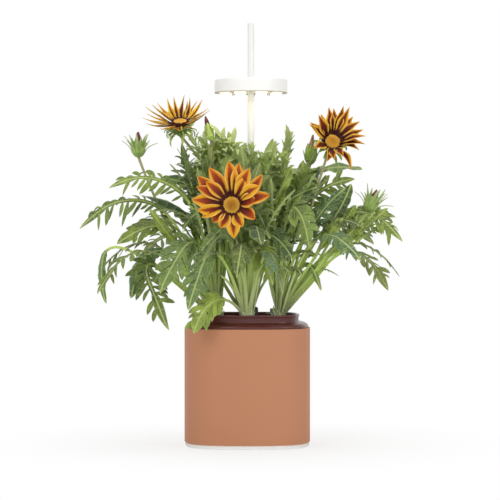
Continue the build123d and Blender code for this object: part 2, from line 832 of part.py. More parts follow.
def bud(name):
    # a swollen green calyx with the folded petals standing out of it
    radius, tip = bud_sizes[name]
    plane = Plane(origin=bloom_middle(name), z_dir=blooms[name][3])
    half = bud_length / 2
    body = plane.location * turned([(0, -half), (stem_radius, -half), (radius * 0.85, -half / 2),
                                    (radius, half / 4), (radius * 0.7, half), (0, half)])
    point = plane.location * turned([(0, half), (radius * 0.45, half), (radius * 0.15, half + tip), (0, half + tip)])
    return [body, point]


# Leaves of each plant, measured from where they spring: where the leaf bends, its tip, its width, the share
# of it that is stalk, and how many degrees its face turns from the sky towards the front
leaf_lists = {
    "left": [
        ((-104.5, -8, 127), (-150.5, -12, 97), 34, 0.50, 70),
        ((-86.5, -30, 151), (-116.5, -34, 141), 38, 0.50, 75),
        ((-28.5, -45, 81), (-59.5, -64, 27), 46, 0.52, 60),
        ((-74.5, -34, 55), (-50.5, -44, -13), 30, 0.42, 80),
        ((-70.5, -20, 71), (-93.5, -34, 21), 26, 0.45, 65),
        ((-94.5, 4, 75), (-123.5, 2, 15), 16, 0.50, 60),
        ((-48.5, -22, 85), (-73.5, -26, 117), 16, 0.55, 70),
        ((-26.5, 2, 143), (-60.5, -4, 151), 24, 0.60, 60),
        ((-30.5, 10, 141), (-38.5, 8, 191), 30, 0.50, 80),
        ((-18.5, -18, 117), (-36.5, -26, 95), 22, 0.62, 50),
    ],
    "front": [
        ((-38, -28.5, 69), (-62, -44.5, 9), 42, 0.50, 65),
        ((-30, -30.5, 21), (-57, -50.5, -15), 38, 0.40, 60),
        ((14, -20.5, 75), (27, -36.5, 36), 32, 0.55, 70),
        ((28, -16.5, 89), (48, -34.5, 63), 38, 0.60, 60),
        ((-26, -14.5, 97), (-50, -26.5, 71), 26, 0.60, 60),
        ((-10, -12.5, 91), (0, -26.5, 65), 24, 0.60, 65),
        ((14, -8.5, 111), (24, -20.5, 85), 14, 0.60, 60),
    ],
    "right": [
        ((104.5, -14, 111), (136.5, -20, 83), 24, 0.55, 65),
        ((106.5, 6, 115), (129.5, 2, 109), 18, 0.65, 50),
        ((48.5, -30, 115), (72.5, -38, 141), 26, 0.60, 75),
        ((62.5, -12, 109), (80.5, -14, 145), 26, 0.62, 75),
        ((56.5, 2, 143), (84.5, -4, 151), 34, 0.62, 65),
        ((70.5, 24, 165), (94.5, 26, 163), 18, 0.70, 50),
        ((16.5, -30, 131), (44.5, -42, 141), 36, 0.60, 65),
        ((20.5, -42, 117), (33.5, -60, 77), 38, 0.58, 60),
        ((36.5, -18, 55), (46.5, -24, 29), 8, 0.60, 60),
        ((24.5, -8, 159), (42.5, -14, 149), 26, 0.70, 55),
    ],
    "back": [
        ((14, -11.5, 149), (29, -15.5, 196), 14, 0.55, 85),
        ((-16, -7.5, 151), (-21, -13.5, 204), 16, 0.55, 85),
        ((40, -19.5, 145), (46, -21.5, 206), 22, 0.52, 85),
        ((-26, -19.5, 151), (-14, -29.5, 193), 20, 0.55, 80),
        ((-44, -17.5, 155), (-32, -25.5, 185), 18, 0.60, 75),
        ((22, -25.5, 171), (42, -37.5, 159), 16, 0.70, 60),
    ],
}

# The way that each plant's fuller growth spreads, and how far as a share of the whole reach
sector_angles = {"front": -90.0, "right": 0.0, "back": 90.0, "left": 180.0}
filler_shares = {"front": 0.5, "right": 1.0, "back": 0.9, "left": 1.0}


def filler_leaves(name):
    # measured from where they spring, like the leaves above; the turns step round by the golden section
    leaves = []
    for i in range(filler_count):
        share = (i + 0.5) / filler_count
        turn = (filler_count * share * 0.382 + 0.17) % 1.0 - 0.5
        angle = math.radians(sector_angles[name] + filler_spread * turn)
        out_x, out_y = math.cos(angle), math.sin(angle)
        out = (filler_near + (filler_far - filler_near) * share) * filler_shares[name]
        rise = filler_tall + (filler_low - filler_tall) * share
        fall = filler_near_fall + (filler_far_fall - filler_near_fall) * share
        reach = out * 1.3 + filler_overhang
        lean = 0.5 * math.sin(2.4 * i)
        bend = (out * out_x, out * out_y, rise)
        tip = (reach * out_x, reach * out_y, rise - fall)
        face = (-0.3 * out_x - lean * out_y, lean * out_x - 0.3 * out_y, 1)
        leaves.append((bend, tip, filler_width + filler_width_step * ((i * 3) % 4), 0.5, face))
    return leaves


# Flowers and buds: the plant that bears each, where its stem bends and its middle, both measured from where
# the stem springs, and the way that it faces
blooms = {
    "flower_front": ("front", (-10, -22.5, 79), (-16.5, -62.5, 121), (0.05, -1, 0.1)),
    "flower_left": ("left", (-10.5, -4, 159), (-40, -8, 211), (-0.05, -0.33, 0.94)),
    "flower_right": ("right", (32.5, -6, 103), (59, -18, 190), (0.25, -0.82, 0.5)),
    "bud_left": ("left", (-60.5, 8, 111), (-86.5, 6, 185), (-0.02, -0.05, 1)),
    "bud_centre": ("left", (-6.5, -10, 109), (-7.5, -12, 205), (-0.25, 0, 1)),
    "bud_right": ("right", (50.5, -4, 63), (102.5, -12, 124), (0.4, -0.1, 1)),
    "bud_spent": ("right", (20.5, 8, 95), (36.5, 8, 177), (0.1, 0, 1)),
}

# Each flower's radius, petals, how far its tips stand forward, and how deep the gaps between them are cut
flower_sizes = {
    "flower_front": (41.0, 14, 6.0, 0.72),
    "flower_left": (38.0, 15, 22.0, 0.5),
    "flower_right": (39.0, 15, 14.0, 0.5),
}

# Each bud's radius, and how far its petals stand out of it
bud_sizes = {"bud_left": (8.5, 9.0), "bud_centre": (8.0, 4.0), "bud_right": (9.0, 6.0), "bud_spent": (7.5, 12.0)}


def springs(name):
    # where the leaves and stems of a plant spring from
    x, y = sites[name]
    return Vector(x, y, leaf_base)


def bloom_middle(name):
    bearer, bend, middle, facing = blooms[name]
    return springs(bearer) + Vector(middle)


def below_bloom(name):
    # the point under a bloom where its stem ends
    length = calyx_length if name in flower_sizes else bud_length / 2
    return bloom_middle(name) - Vector(blooms[name][3]).normalized() * (length + stem_gap)


def plant(name):
    start = springs(name)
    pieces = [crown(start.X, start.Y)]
    for bend, tip, width, blade, turn in leaf_lists[name]:
        face = Vector(0, -math.sin(math.radians(turn)), math.cos(math.radians(turn)))
        pieces += leaf(start, start + Vector(bend), start + Vector(tip), width, blade, face)
    for bend, tip, width, blade, face in filler_leaves(name):
        pieces += leaf(start, start + Vector(bend), start + Vector(tip), width, blade, Vector(face))
    for bloom, (bearer, bend, middle, facing) in blooms.items():
        if bearer == name:
            pieces += stem(start, start + Vector(bend), below_bloom(bloom))
    return pieces


# ------------------------------------------------------------------ the pieces, one file each
write("base_tray", base_tray())
write("bay_cover", bay_cover())
write("cover_screws", cover_screws())
write("rubber_feet", rubber_feet())
write("outer_sleeve", outer_sleeve())
write("control_board", control_board())
write("board_parts", board_parts())
write("board_screws", board_screws())
write("power_inlet", power_inlet())
write("power_socket", power_socket())
write("socket_pins", socket_pins())

write("reservoir_pot", reservoir_pot())
write("mast_standpipe", mast_standpipe())
write("rim_collar", rim_collar())

write("planting_deck", planting_deck())
write("mast_grommet", mast_grommet())
for site, (site_x, site_y) in sites.items():
    write(f"net_cup_{site}", net_cup(site_x, site_y))
    write(f"grow_plug_{site}", grow_plug(site_x, site_y))
    write(f"wick_{site}", wick(site_x, site_y))
    write(f"plant_{site}", plant(site))
write("fill_cap", fill_cap())
write("float_gauge", float_gauge())

write("mast_tube", mast_tube())
write("conductor_strips", conductor_strips())
write("mast_foot_plug", mast_foot_plug())
write("mast_cap", mast_cap())

write("lamp_housing", lamp_housing())
write("slide_bush", slide_bush())
write("wiper_contacts", wiper_contacts())
write("heat_spreader", led_disc(led_board_top, spreader_top, spreader_radius, False))
write("led_board", led_disc(led_board_bottom, led_board_top, led_board_radius, True))
write("leds", leds())
write("led_board_screws", led_board_screws())
write("lens_plate", lens_plate())
write("lens_pods", lens_pods())
write("lens_plate_pegs", lens_plate_pegs())
write("timer_button", timer_button())
write("timer_switch", timer_switch())

for bloom in flower_sizes:
    write(bloom, flower(bloom))
for bloom in bud_sizes:
    write(bloom, bud(bloom))
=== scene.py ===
import json
import math
from functools import partial
import bpy
import numpy as np
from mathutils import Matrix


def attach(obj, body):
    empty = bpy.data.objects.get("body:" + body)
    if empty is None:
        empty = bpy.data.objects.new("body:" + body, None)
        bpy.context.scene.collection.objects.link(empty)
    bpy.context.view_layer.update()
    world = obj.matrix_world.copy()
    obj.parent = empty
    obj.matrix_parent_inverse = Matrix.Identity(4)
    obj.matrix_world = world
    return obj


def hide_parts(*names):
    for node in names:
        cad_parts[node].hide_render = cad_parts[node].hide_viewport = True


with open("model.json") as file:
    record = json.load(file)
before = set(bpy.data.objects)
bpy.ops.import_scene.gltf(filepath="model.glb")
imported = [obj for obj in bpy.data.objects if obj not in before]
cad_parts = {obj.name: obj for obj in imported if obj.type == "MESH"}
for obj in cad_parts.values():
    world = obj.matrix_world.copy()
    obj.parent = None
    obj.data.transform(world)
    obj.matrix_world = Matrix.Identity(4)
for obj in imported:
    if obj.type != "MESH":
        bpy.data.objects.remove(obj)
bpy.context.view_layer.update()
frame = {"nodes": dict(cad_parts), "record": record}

print("frame loaded:", len(frame["nodes"]), "nodes")

# Lengths in this file are millimetres unless a name says otherwise; metre turns them into scene units
metre = 0.001
up = np.array([0.0, 0.0, 1.0])
white = (1.0, 1.0, 1.0, 1.0)
goldenAngle = math.pi * (3 - math.sqrt(5))
goldenShare = 0.618
# Where the random numbers of each kind of piece start
seeds = {"plant": 40, "filler": 1000, "young": 2000, "crest": 3000, "shoot": 4000, "stem": 300, "flower": 500,
         "bud": 700, "crown": 800}


def srgb(text):
    # "#RRGGBB" to linear light: below 0.04045 a straight line, above it a power of 2.4
    values = np.array([int(text[i:i + 2], 16) / 255 for i in (1, 3, 5)])
    linear = np.where(values <= 0.04045, values / 12.92, ((values + 0.055) / 1.055) ** 2.4)
    return (*linear.tolist(), 1.0)


# what the second word of a node's kind sets
choiceOf = {"Math": "operation", "VectorMath": "operation", "Mix": "data_type", "MapRange": "interpolation_type",
            "TexVoronoi": "feature"}


def addNode(tree, kind, settings=None, links=None):
    # settings: properties or values of inputs, "#RRGGBB" for a colour; links: inputs fed by a socket or by a
    # node's first live output. By number, a map range goes from 1..2 to 3..4, and a mix has its share at 0 and
    # its tones at 6 and 7
    kind, *choice = kind.split()
    node = tree.nodes.new("ShaderNode" + kind)
    if choice:
        setattr(node, choiceOf[kind], choice[0])
    for key, value in (settings or {}).items():
        if isinstance(key, str) and hasattr(node, key):
            setattr(node, key, value)
        else:
            node.inputs[key].default_value = srgb(value) if isinstance(value, str) else value
    for key, source in (links or {}).items():
        if isinstance(source, bpy.types.Node):
            source = [socket for socket in source.outputs if socket.enabled][0]
        tree.links.new(source, node.inputs[key])
    return node


def startMaterial(name):
    # a bare material, what adds a node to it, and its Object coordinates
    material = bpy.data.materials.new(name)
    material.use_nodes = True
    material.node_tree.nodes.clear()
    add = partial(addNode, material.node_tree)
    return material, add, add("TexCoord").outputs["Object"]


def readField(add, name):
    # the three parts of a vector that each point carries
    field = add("Attribute", {"attribute_name": name})
    return list(add("SeparateXYZ", links={0: field.outputs["Vector"]}).outputs)


def coat(add, colour, heights, strength, depth, settings, links=None):
    # a coloured surface with bumps of depth mm
    bump = add("Bump", {"Strength": strength, "Distance": depth * metre}, {"Height": heights})
    surface = add("BsdfPrincipled", settings, {"Base Color": colour, "Normal": bump, **(links or {})})
    return surface, bump


def addObject(name, data):
    thing = bpy.data.objects.new(name, data)
    bpy.context.scene.collection.objects.link(thing)
    return thing


def between(ends, share):
    # the value that lies this share of the way from the first end to the second
    return ends[0] + (ends[1] - ends[0]) * share


def fullTurn(sides):
    return np.linspace(0, 2 * np.pi, sides, endpoint=False)


def roundedEdge(v, share=0.9):
    # 1 at the middle, falling along an ellipse towards the edges
    return np.sqrt(np.clip(1 - share * v ** 2, 0, 1))


def unit(vectors):
    return vectors / np.maximum(np.linalg.norm(vectors, axis=-1, keepdims=True), 1e-9)


def smoothStep(low, high, values):
    # 0 below low, 1 above high, and 3x^2 - 2x^3 between
    x = np.clip((values - low) / (high - low), 0, 1)
    return x * x * (3 - 2 * x)


class Shape:
    # Collects closed skins with their point attributes, then makes one mesh object of them
    def __init__(self):
        self.points = []
        self.quads = []
        self.triangles = []
        self.attributes = {}
        self.count = 0

    def addSkin(self, rings, attributes=None, endless=False):
        # rings[i][j] joins its neighbours j + 1 and i + 1; a fan to a middle point closes each end
        rows, columns = rings.shape[:2]
        index = np.arange(rows * columns).reshape(rows, columns) + self.count
        across = np.roll(index, -1, axis=1)
        if endless:
            quads = np.stack([index, across, np.roll(across, -1, axis=0), np.roll(index, -1, axis=0)], axis=-1)
            points = rings.reshape(-1, 3)
        else:
            quads = np.stack([index[:-1], across[:-1], across[1:], index[1:]], axis=-1)
            first = self.count + rows * columns
            base, tip = np.full(columns, first), np.full(columns, first + 1)
            self.triangles.append(np.stack([base, across[0], index[0]], axis=-1))
            self.triangles.append(np.stack([tip, index[-1], across[-1]], axis=-1))
            points = np.vstack([rings.reshape(-1, 3), rings[0].mean(axis=0), rings[-1].mean(axis=0)])
        self.points.append(points)
        self.quads.append(quads.reshape(-1, 4))
        self.count += len(points)
        for name, values in (attributes or {}).items():
            flat = values.reshape(rows * columns, -1)
            if not endless:
                flat = np.vstack([flat, values[0].reshape(columns, -1).mean(axis=0),
                                  values[-1].reshape(columns, -1).mean(axis=0)])
            self.attributes.setdefault(name, []).append(flat)

    def make(self, name, material, body, slot, replaces, sharp=50):
        mesh = bpy.data.meshes.new(name)
        faces = np.vstack(self.quads).tolist()
        if self.triangles:
            faces += np.vstack(self.triangles).tolist()
        mesh.from_pydata((np.vstack(self.points) * metre).tolist(), [], faces)
        for key, parts in self.attributes.items():
            values = np.vstack(parts).astype(np.float32)
            kind = "FLOAT" if values.shape[1] == 1 else "FLOAT_VECTOR"
            field = mesh.attributes.new(key, kind, "POINT")
            field.data.foreach_set("value" if kind == "FLOAT" else "vector", values.ravel())
        mesh.shade_smooth()
        mesh.set_sharp_from_angle(angle=math.radians(sharp))
        mesh.materials.append(material)
        piece = addObject(name, mesh)
        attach(piece, body)
        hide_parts(*replaces)


def curveThrough(start, middle, end, t):
    # a quadratic curve that meets middle at that share of its length, and its direction
    first, second = np.linalg.norm(middle - start), np.linalg.norm(end - middle)
    m = first / (first + second)
    control = (middle - start * (1 - m) ** 2 - end * m ** 2) / (2 * m * (1 - m))
    t = t[:, None]
    points = start * (1 - t) ** 2 + control * (2 * t * (1 - t)) + end * t ** 2
    ahead = unit((control - start) * (1 - t) + (end - control) * t)
    return points, ahead


def steadyFrames(ahead, face):
    # side = ahead x face, kept from turning over from row to row; top = side x ahead
    side = unit(np.cross(ahead, face))
    flips = np.sign(np.sum(side[1:] * side[:-1], axis=1) + 1e-9)
    side = side * np.concatenate([[1.0], np.cumprod(flips)])[:, None]
    return side, np.cross(side, ahead)


def planeOf(facing):
    # two directions square to facing, the first as level as can be
    first = unit(np.cross(up, facing))
    return first, np.cross(facing, first)


def around(facing, angle):
    # places on a unit circle square to facing
    first, second = planeOf(facing)
    angle = np.asarray(angle)[..., None]
    return first * np.cos(angle) + second * np.sin(angle)


def roundTube(points, ahead, radius, sides):
    # rings of a circle of that radius, square to the path
    side, top = steadyFrames(ahead, np.array([0.2, 1.0, 0.1]))
    angle = fullTurn(sides)
    wide = radius[:, None, None]
    return points[:, None] + wide * (side[:, None] * np.cos(angle)[:, None] - top[:, None] * np.sin(angle)[:, None])


# places shared with the solids
site = {
    "radius": 33.5,
    "leafBase": 141.0,
    "crownRadius": 6.5,
}
sites = {"front": np.array([0.0, -site["radius"], site["leafBase"]]),
         "right": np.array([site["radius"], 0.0, site["leafBase"]]),
         "back": np.array([0.0, site["radius"], site["leafBase"]]),
         "left": np.array([-site["radius"], 0.0, site["leafBase"]])}

# Each leaf: where it bends and its tip, from where it springs; width; share that is stalk; turn of its face
# towards the front in degrees; kind; pairs of lobes; how deep they are cut; droop; fold; tint; bluish bloom
leafRows = {
    "left": [
        ((-104.5, -8, 127), (-150.5, -12, 97), 29, 0.46, 62, "fern", 7, 1.0, 0.75, -0.25, 0.45, 0.3),
        ((-86.5, -30, 151), (-116.5, -34, 141), 31, 0.5, 70, "fern", 6, 1.0, 0.45, 0.1, 0.55, 0.1),
        ((-28.5, -45, 81), (-59.5, -64, 27), 46, 0.45, 60, "oak", 5, 0.91, 0.15, -0.1, 0.45, 0.4),
        ((-74.5, -34, 55), (-50.5, -44, -13), 40, 0.42, 80, "fern", 7, 1.0, 0.1, 0.05, 0.25, 0.1),
        ((-70.5, -20, 71), (-93.5, -34, 21), 27, 0.42, 60, "lance", 6, 0.2, 0.15, -0.45, 0.3, 0.9),
        ((-126.5, 4, 64), (-121.5, 2, 14), 11, 0.64, 60, "lance", 5, 0.1, 0.1, -0.5, 0.35, 0.9),
        ((-48.5, -22, 85), (-73.5, -26, 117), 15, 0.5, 70, "lance", 6, 0.1, 0.05, 0.2, 0.85, 0.0),
        ((-26.5, 2, 143), (-60.5, -4, 151), 21, 0.55, 60, "lance", 5, 0.2, 0.1, 0.15, 0.1, 1.0),
        ((-30.5, 10, 141), (-38.5, 8, 191), 27, 0.48, 80, "fern", 6, 0.8, 0.15, 0.15, 0.35, 0.1),
        ((-18.5, -18, 117), (-36.5, -26, 95), 24, 0.58, 50, "fern", 5, 0.9, 0.35, -0.1, 0.3, 0.6),
        ((-4, -8, 160), (-10, -16, 190), 19, 0.6, 70, "fern", 5, 1.0, 0.15, 0.2, 1.15, 0.1),
        ((8, -14, 150), (10, -28, 176), 21, 0.58, 60, "oak", 4, 0.9, 0.2, 0.15, 1.15, 0.2),
        ((18, -16, 156), (21, -30, 184), 18, 0.6, 65, "lance", 5, 0.1, 0.1, 0.2, 1.2, 0.1),
    ],
    "front": [
        ((-38, -28.5, 69), (-62, -44.5, 9), 40, 0.45, 65, "oak", 5, 0.93, 0.15, -0.1, 0.45, 0.6),
        ((-30, -30.5, 21), (-57, -50.5, -15), 38, 0.38, 60, "oak", 5, 0.95, 0.15, 0.1, 0.8, 0.0),
        ((14, -20.5, 75), (27, -36.5, 36), 34, 0.5, 70, "fern", 6, 0.9, 0.2, -0.15, 0.8, 0.0),
        ((28, -16.5, 89), (48, -34.5, 63), 34, 0.52, 60, "oak", 4, 0.86, 0.15, 0.1, 0.1, 0.4),
        ((-26, -14.5, 97), (-50, -26.5, 71), 24, 0.52, 60, "lance", 6, 0.1, 0.1, -0.1, 0.35, 0.5),
        ((-10, -12.5, 91), (0, -26.5, 65), 26, 0.55, 65, "oak", 4, 0.91, 0.15, 0.15, 0.6, 0.1),
        ((14, -8.5, 111), (24, -20.5, 85), 18, 0.55, 60, "lance", 5, 0.1, 0.1, 0.1, 0.2, 0.3),
    ],
    "right": [
        ((104.5, -14, 111), (136.5, -20, 83), 28, 0.54, 65, "fern", 6, 1.0, 0.55, -0.25, 0.55, 0.2),
        ((106.5, 6, 115), (129.5, 2, 109), 22, 0.6, 50, "fern", 5, 0.9, 0.3, 0.1, 0.5, 0.2),
        ((48.5, -30, 115), (72.5, -38, 141), 28, 0.54, 75, "oak", 5, 0.89, 0.1, 0.15, 0.2, 0.8),
        ((62.5, -12, 109), (80.5, -14, 145), 22, 0.56, 75, "lance", 6, 0.1, 0.1, 0.15, 0.05, 0.3),
        ((56.5, 2, 143), (84.5, -4, 151), 36, 0.56, 65, "fern", 6, 1.0, 0.15, 0.1, 0.55, 0.2),
        ((70.5, 24, 165), (94.5, 26, 163), 20, 0.62, 50, "lance", 5, 0.1, 0.1, 0.1, 0.45, 0.5),
        ((16.5, -30, 131), (44.5, -42, 141), 38, 0.54, 65, "oak", 4, 0.88, 0.15, 0.1, 0.1, 0.3),
        ((20.5, -42, 117), (33.5, -60, 77), 40, 0.52, 60, "oak", 5, 0.94, 0.2, -0.15, 0.55, 0.3),
        ((36.5, -18, 55), (46.5, -24, 29), 9, 0.5, 60, "lance", 5, 0.1, 0.2, -0.1, 0.4, 0.4),
        ((24.5, -8, 159), (42.5, -14, 149), 26, 0.64, 55, "fern", 5, 0.8, 0.15, 0.1, 0.5, 0.1),
        ((62, -20, 74), (98, -26, 112), 20, 0.7, 60, "fern", 5, 1.0, 0.2, 0.1, 0.6, 0.2),
        ((52, -24, 64), (84, -32, 98), 18, 0.7, 60, "oak", 4, 0.9, 0.2, 0.1, 0.7, 0.1),
        ((72, -10, 88), (112, -12, 120), 18, 0.7, 60, "fern", 5, 1.0, 0.3, 0.1, 0.55, 0.3),
        ((44, -26, 72), (70, -34, 108), 17, 0.68, 65, "lance", 5, 0.1, 0.1, 0.15, 0.75, 0.1),
        ((92, -16, 94), (120, -22, 118), 15, 0.82, 65, "fern", 4, 0.9, 0.2, 0.1, 0.65, 0.1),
        ((84, -20, 90), (106, -28, 114), 13, 0.82, 65, "lance", 5, 0.1, 0.15, 0.15, 0.6, 0.2),
        ((78, -6, 96), (100, -8, 124), 15, 0.82, 65, "oak", 4, 0.9, 0.2, 0.15, 0.45, 0.3),
        ((68, -26, 78), (92, -36, 102), 13, 0.82, 60, "lance", 5, 0.1, 0.2, 0.1, 0.75, 0.1),
        ((64, -14, 92), (84, -18, 122), 12, 0.84, 70, "lance", 5, 0.1, 0.1, 0.15, 0.7, 0.1),
        ((98, -4, 90), (126, -6, 104), 14, 0.84, 60, "fern", 4, 0.9, 0.3, 0.1, 0.55, 0.2),
    ],
    "back": [
        ((14, -11.5, 149), (29, -15.5, 196), 15, 0.5, 85, "lance", 7, 0.1, 0.0, 0.25, 0.95, 0.0),
        ((-16, -7.5, 151), (-21, -13.5, 204), 17, 0.5, 85, "lance", 7, 0.1, 0.0, 0.2, 1.05, 0.0),
        ((48, -17.5, 136), (62, -21.5, 172), 14, 0.6, 80, "lance", 5, 0.1, 0.0, 0.15, 1.0, 0.2),
        ((-26, -19.5, 151), (-14, -29.5, 193), 20, 0.5, 80, "lance", 6, 0.1, 0.0, 0.15, 1.0, 0.0),
        ((-44, -17.5, 155), (-32, -25.5, 185), 22, 0.55, 75, "fern", 5, 0.8, 0.1, 0.1, 0.9, 0.1),
        ((22, -25.5, 171), (42, -37.5, 159), 22, 0.64, 60, "fern", 5, 0.9, 0.2, 0.1, 0.8, 0.3),
        ((-40, -20, 164), (-51, -30, 186), 15, 0.72, 70, "lance", 5, 0.1, 0.05, 0.25, 1.15, 0.0),
        ((-36, -24, 172), (-38, -36, 200), 13, 0.74, 75, "lance", 5, 0.1, 0.05, 0.3, 1.2, 0.0),
        ((-30, -20, 166), (-27, -34, 188), 16, 0.7, 60, "fern", 4, 0.9, 0.2, 0.2, 1.15, 0.0),
        ((-22, -24, 160), (-16, -38, 176), 17, 0.7, 55, "fern", 5, 0.9, 0.3, 0.1, 1.0, 0.1),
        ((-12, -22, 170), (-5, -34, 189), 14, 0.72, 65, "lance", 5, 0.1, 0.1, 0.2, 1.2, 0.0),
        ((-8, -19, 158), (-3, -24, 184), 13, 0.7, 60, "lance", 5, 0.1, 0.1, 0.25, 1.1, 0.0),
        ((7, -21, 150), (20, -34, 168), 17, 0.68, 60, "fern", 5, 0.9, 0.2, 0.1, 0.95, 0.0),
        ((12, -22, 162), (24, -32, 182), 13, 0.72, 70, "lance", 5, 0.1, 0.1, 0.25, 1.1, 0.0),
        ((34, -20, 140), (37, -24, 168), 16, 0.66, 80, "fern", 5, 1.0, 0.05, 0.2, 1.05, 0.1),
        ((40, -22, 138), (60, -26, 166), 15, 0.66, 80, "fern", 5, 1.0, 0.05, 0.2, 0.95, 0.2),
        ((-34, -22, 150), (-46, -36, 178), 21, 0.58, 70, "oak", 4, 0.9, 0.1, 0.2, 1.15, 0.1),
        ((-26, -28, 158), (-34, -44, 182), 20, 0.6, 65, "fern", 5, 1.0, 0.1, 0.2, 1.1, 0.2),
        ((-12, -28, 152), (-16, -48, 182), 21, 0.58, 60, "oak", 4, 0.9, 0.2, 0.15, 1.15, 0.2),
        ((-9, -26, 158), (-9, -48, 188), 18, 0.6, 65, "fern", 5, 1.0, 0.2, 0.15, 1.1, 0.2),
        ((18, -24, 150), (20, -42, 174), 20, 0.6, 65, "oak", 4, 0.9, 0.2, 0.15, 1.05, 0.3),
        ((-44, -10, 152), (-58, -16, 168), 21, 0.6, 60, "fern", 5, 1.0, 0.3, 0.1, 1.0, 0.2),
        ((-41, -30, 168), (-50, -50, 196), 20, 0.6, 60, "fern", 5, 1.0, 0.2, 0.15, 1.1, 0.1),
        ((-30, -28, 172), (-33, -48, 206), 20, 0.58, 65, "fern", 5, 1.0, 0.15, 0.2, 1.15, 0.2),
        ((-24, -30, 166), (-24, -50, 198), 20, 0.58, 60, "oak", 4, 0.9, 0.15, 0.15, 1.1, 0.3),
        ((-40, -34, 150), (-44, -56, 176), 22, 0.56, 55, "oak", 4, 0.9, 0.2, 0.15, 0.8, 0.8),
        ((-27, -36, 148), (-30, -58, 174), 21, 0.56, 55, "fern", 5, 1.0, 0.2, 0.15, 1.0, 0.4),
        ((20, -38, 150), (31, -55, 192), 20, 0.56, 60, "lance", 6, 0.1, 0.1, 0.3, 1.5, 0.0),
        ((-9, -36, 156), (-2, -56, 190), 18, 0.58, 65, "lance", 6, 0.1, 0.15, 0.25, 1.5, 0.0),
        ((20, -34, 140), (42, -50, 168), 18, 0.58, 60, "lance", 5, 0.1, 0.2, 0.2, 1.3, 0.2),
    ],
}

# sector: where a plant faces; out, rise and fall: from the leaf nearest the mast to the farthest
filler = {
    "count": 10,
    "spread": 98.0,
    "step": 0.382,
    "out": (24.0, 110.0),
    "rise": (160.0, 64.0),
    "fall": (-34.0, 46.0),
    "overhang": 8.0,
    "width": 26.0,
    "widthStep": 5.0,
    "tints": (-0.35, 0.55),
    "sector": {"front": -90.0, "right": 0.0, "back": 90.0, "left": 180.0},
    "share": {"front": 0.5, "right": 1.0, "back": 0.9, "left": 1.0},
}

young = {
    "count": 14,
    "spread": 150,
    "reach": (14.0, 46.0),
    "height": (118.0, 34.0),
    "width": (8.0, 20.0),
    "tints": (-0.05, 0.8),
}

# the crest's tints run high: its young leaves are paler, and partly painted light for the lamp above lighting the top
# of the plant
crest = {
    "count": 10,
    "spread": 200,
    "reach": (10.0, 46.0),
    "height": (104.0, 168.0),
    "width": (11.0, 21.0),
    "tints": (0.5, 1.25),
}

# wing: half width of the strip along the midrib; terminal: half width of the last lobe; broad: a lobe's half
# width by its length; angles at which a lobe leaves the midrib and how far it swings forward; all as shares
leafKinds = {
    "fern": {"width": 1.0, "wing": 0.038, "terminal": 0.10, "broad": (0.12, 0.18), "most": 3.2, "angle": (0.25, 0.60),
             "swing": (0.35, 0.80), "extra": 3, "long": 0.92},
    "oak": {"width": 0.92, "wing": 0.075, "terminal": 0.15, "broad": (0.17, 0.23), "most": 4.4, "angle": (0.40, 0.75),
            "swing": (0.25, 0.70), "extra": 2, "long": 1.0},
    "lance": {"width": 0.62},
}

leafSize = {
    "stalkBase": 2.2,
    "stalkTop": 1.4,
    "stalkThick": 1.9,
    "bladeThick": 0.32,
    "ridge": 0.9,
    "ridgeReach": 1.0,
    "groove": 0.35,
    "sway": 0.8,
    "swayLength": 11,
    "ripple": 1.6,
    "rippleLength": 4.3,
    "quilt": 1.1,
    "lobesFrom": 0.03,
    "lobesOver": 0.80,
    "columns": 9,
    "stalkRows": 11,
    "rowsPerLobe": 8,
    "fingerRows": 9,
    "fingerColumns": 5,
}


def closedBlade(shape, line, frames, across, lift, thick, fields, forward=0.0):
    # a top skin and, thick below it, an under skin: across and forward lie in the blade, lift stands out of it
    side, top, ahead = frames
    forward = np.broadcast_to(forward, across.shape)
    base = line[:, None] + side[:, None] * across[..., None] + ahead[:, None] * forward[..., None]
    upper = base + top[:, None] * lift[..., None]
    lower = base + top[:, None] * (lift - thick)[..., None]
    whole = {name: np.concatenate([grid, grid[:, ::-1]], axis=1) for name, grid in fields.items()}
    whole["underside"] = np.concatenate([np.zeros(across.shape), np.ones(across.shape)], axis=1)
    shape.addSkin(np.concatenate([upper, lower[:, ::-1]], axis=1), whole)


def leafFields(run, v, onBlade, along, across, tint, bloom):
    grids = np.broadcast_arrays(run, v, onBlade, along, across, tint, bloom)
    return {"leafPlace": np.stack(grids[:3], axis=-1), "leafMeasure": np.stack(grids[3:6], axis=-1),
            "leafBloom": np.array(grids[6])}


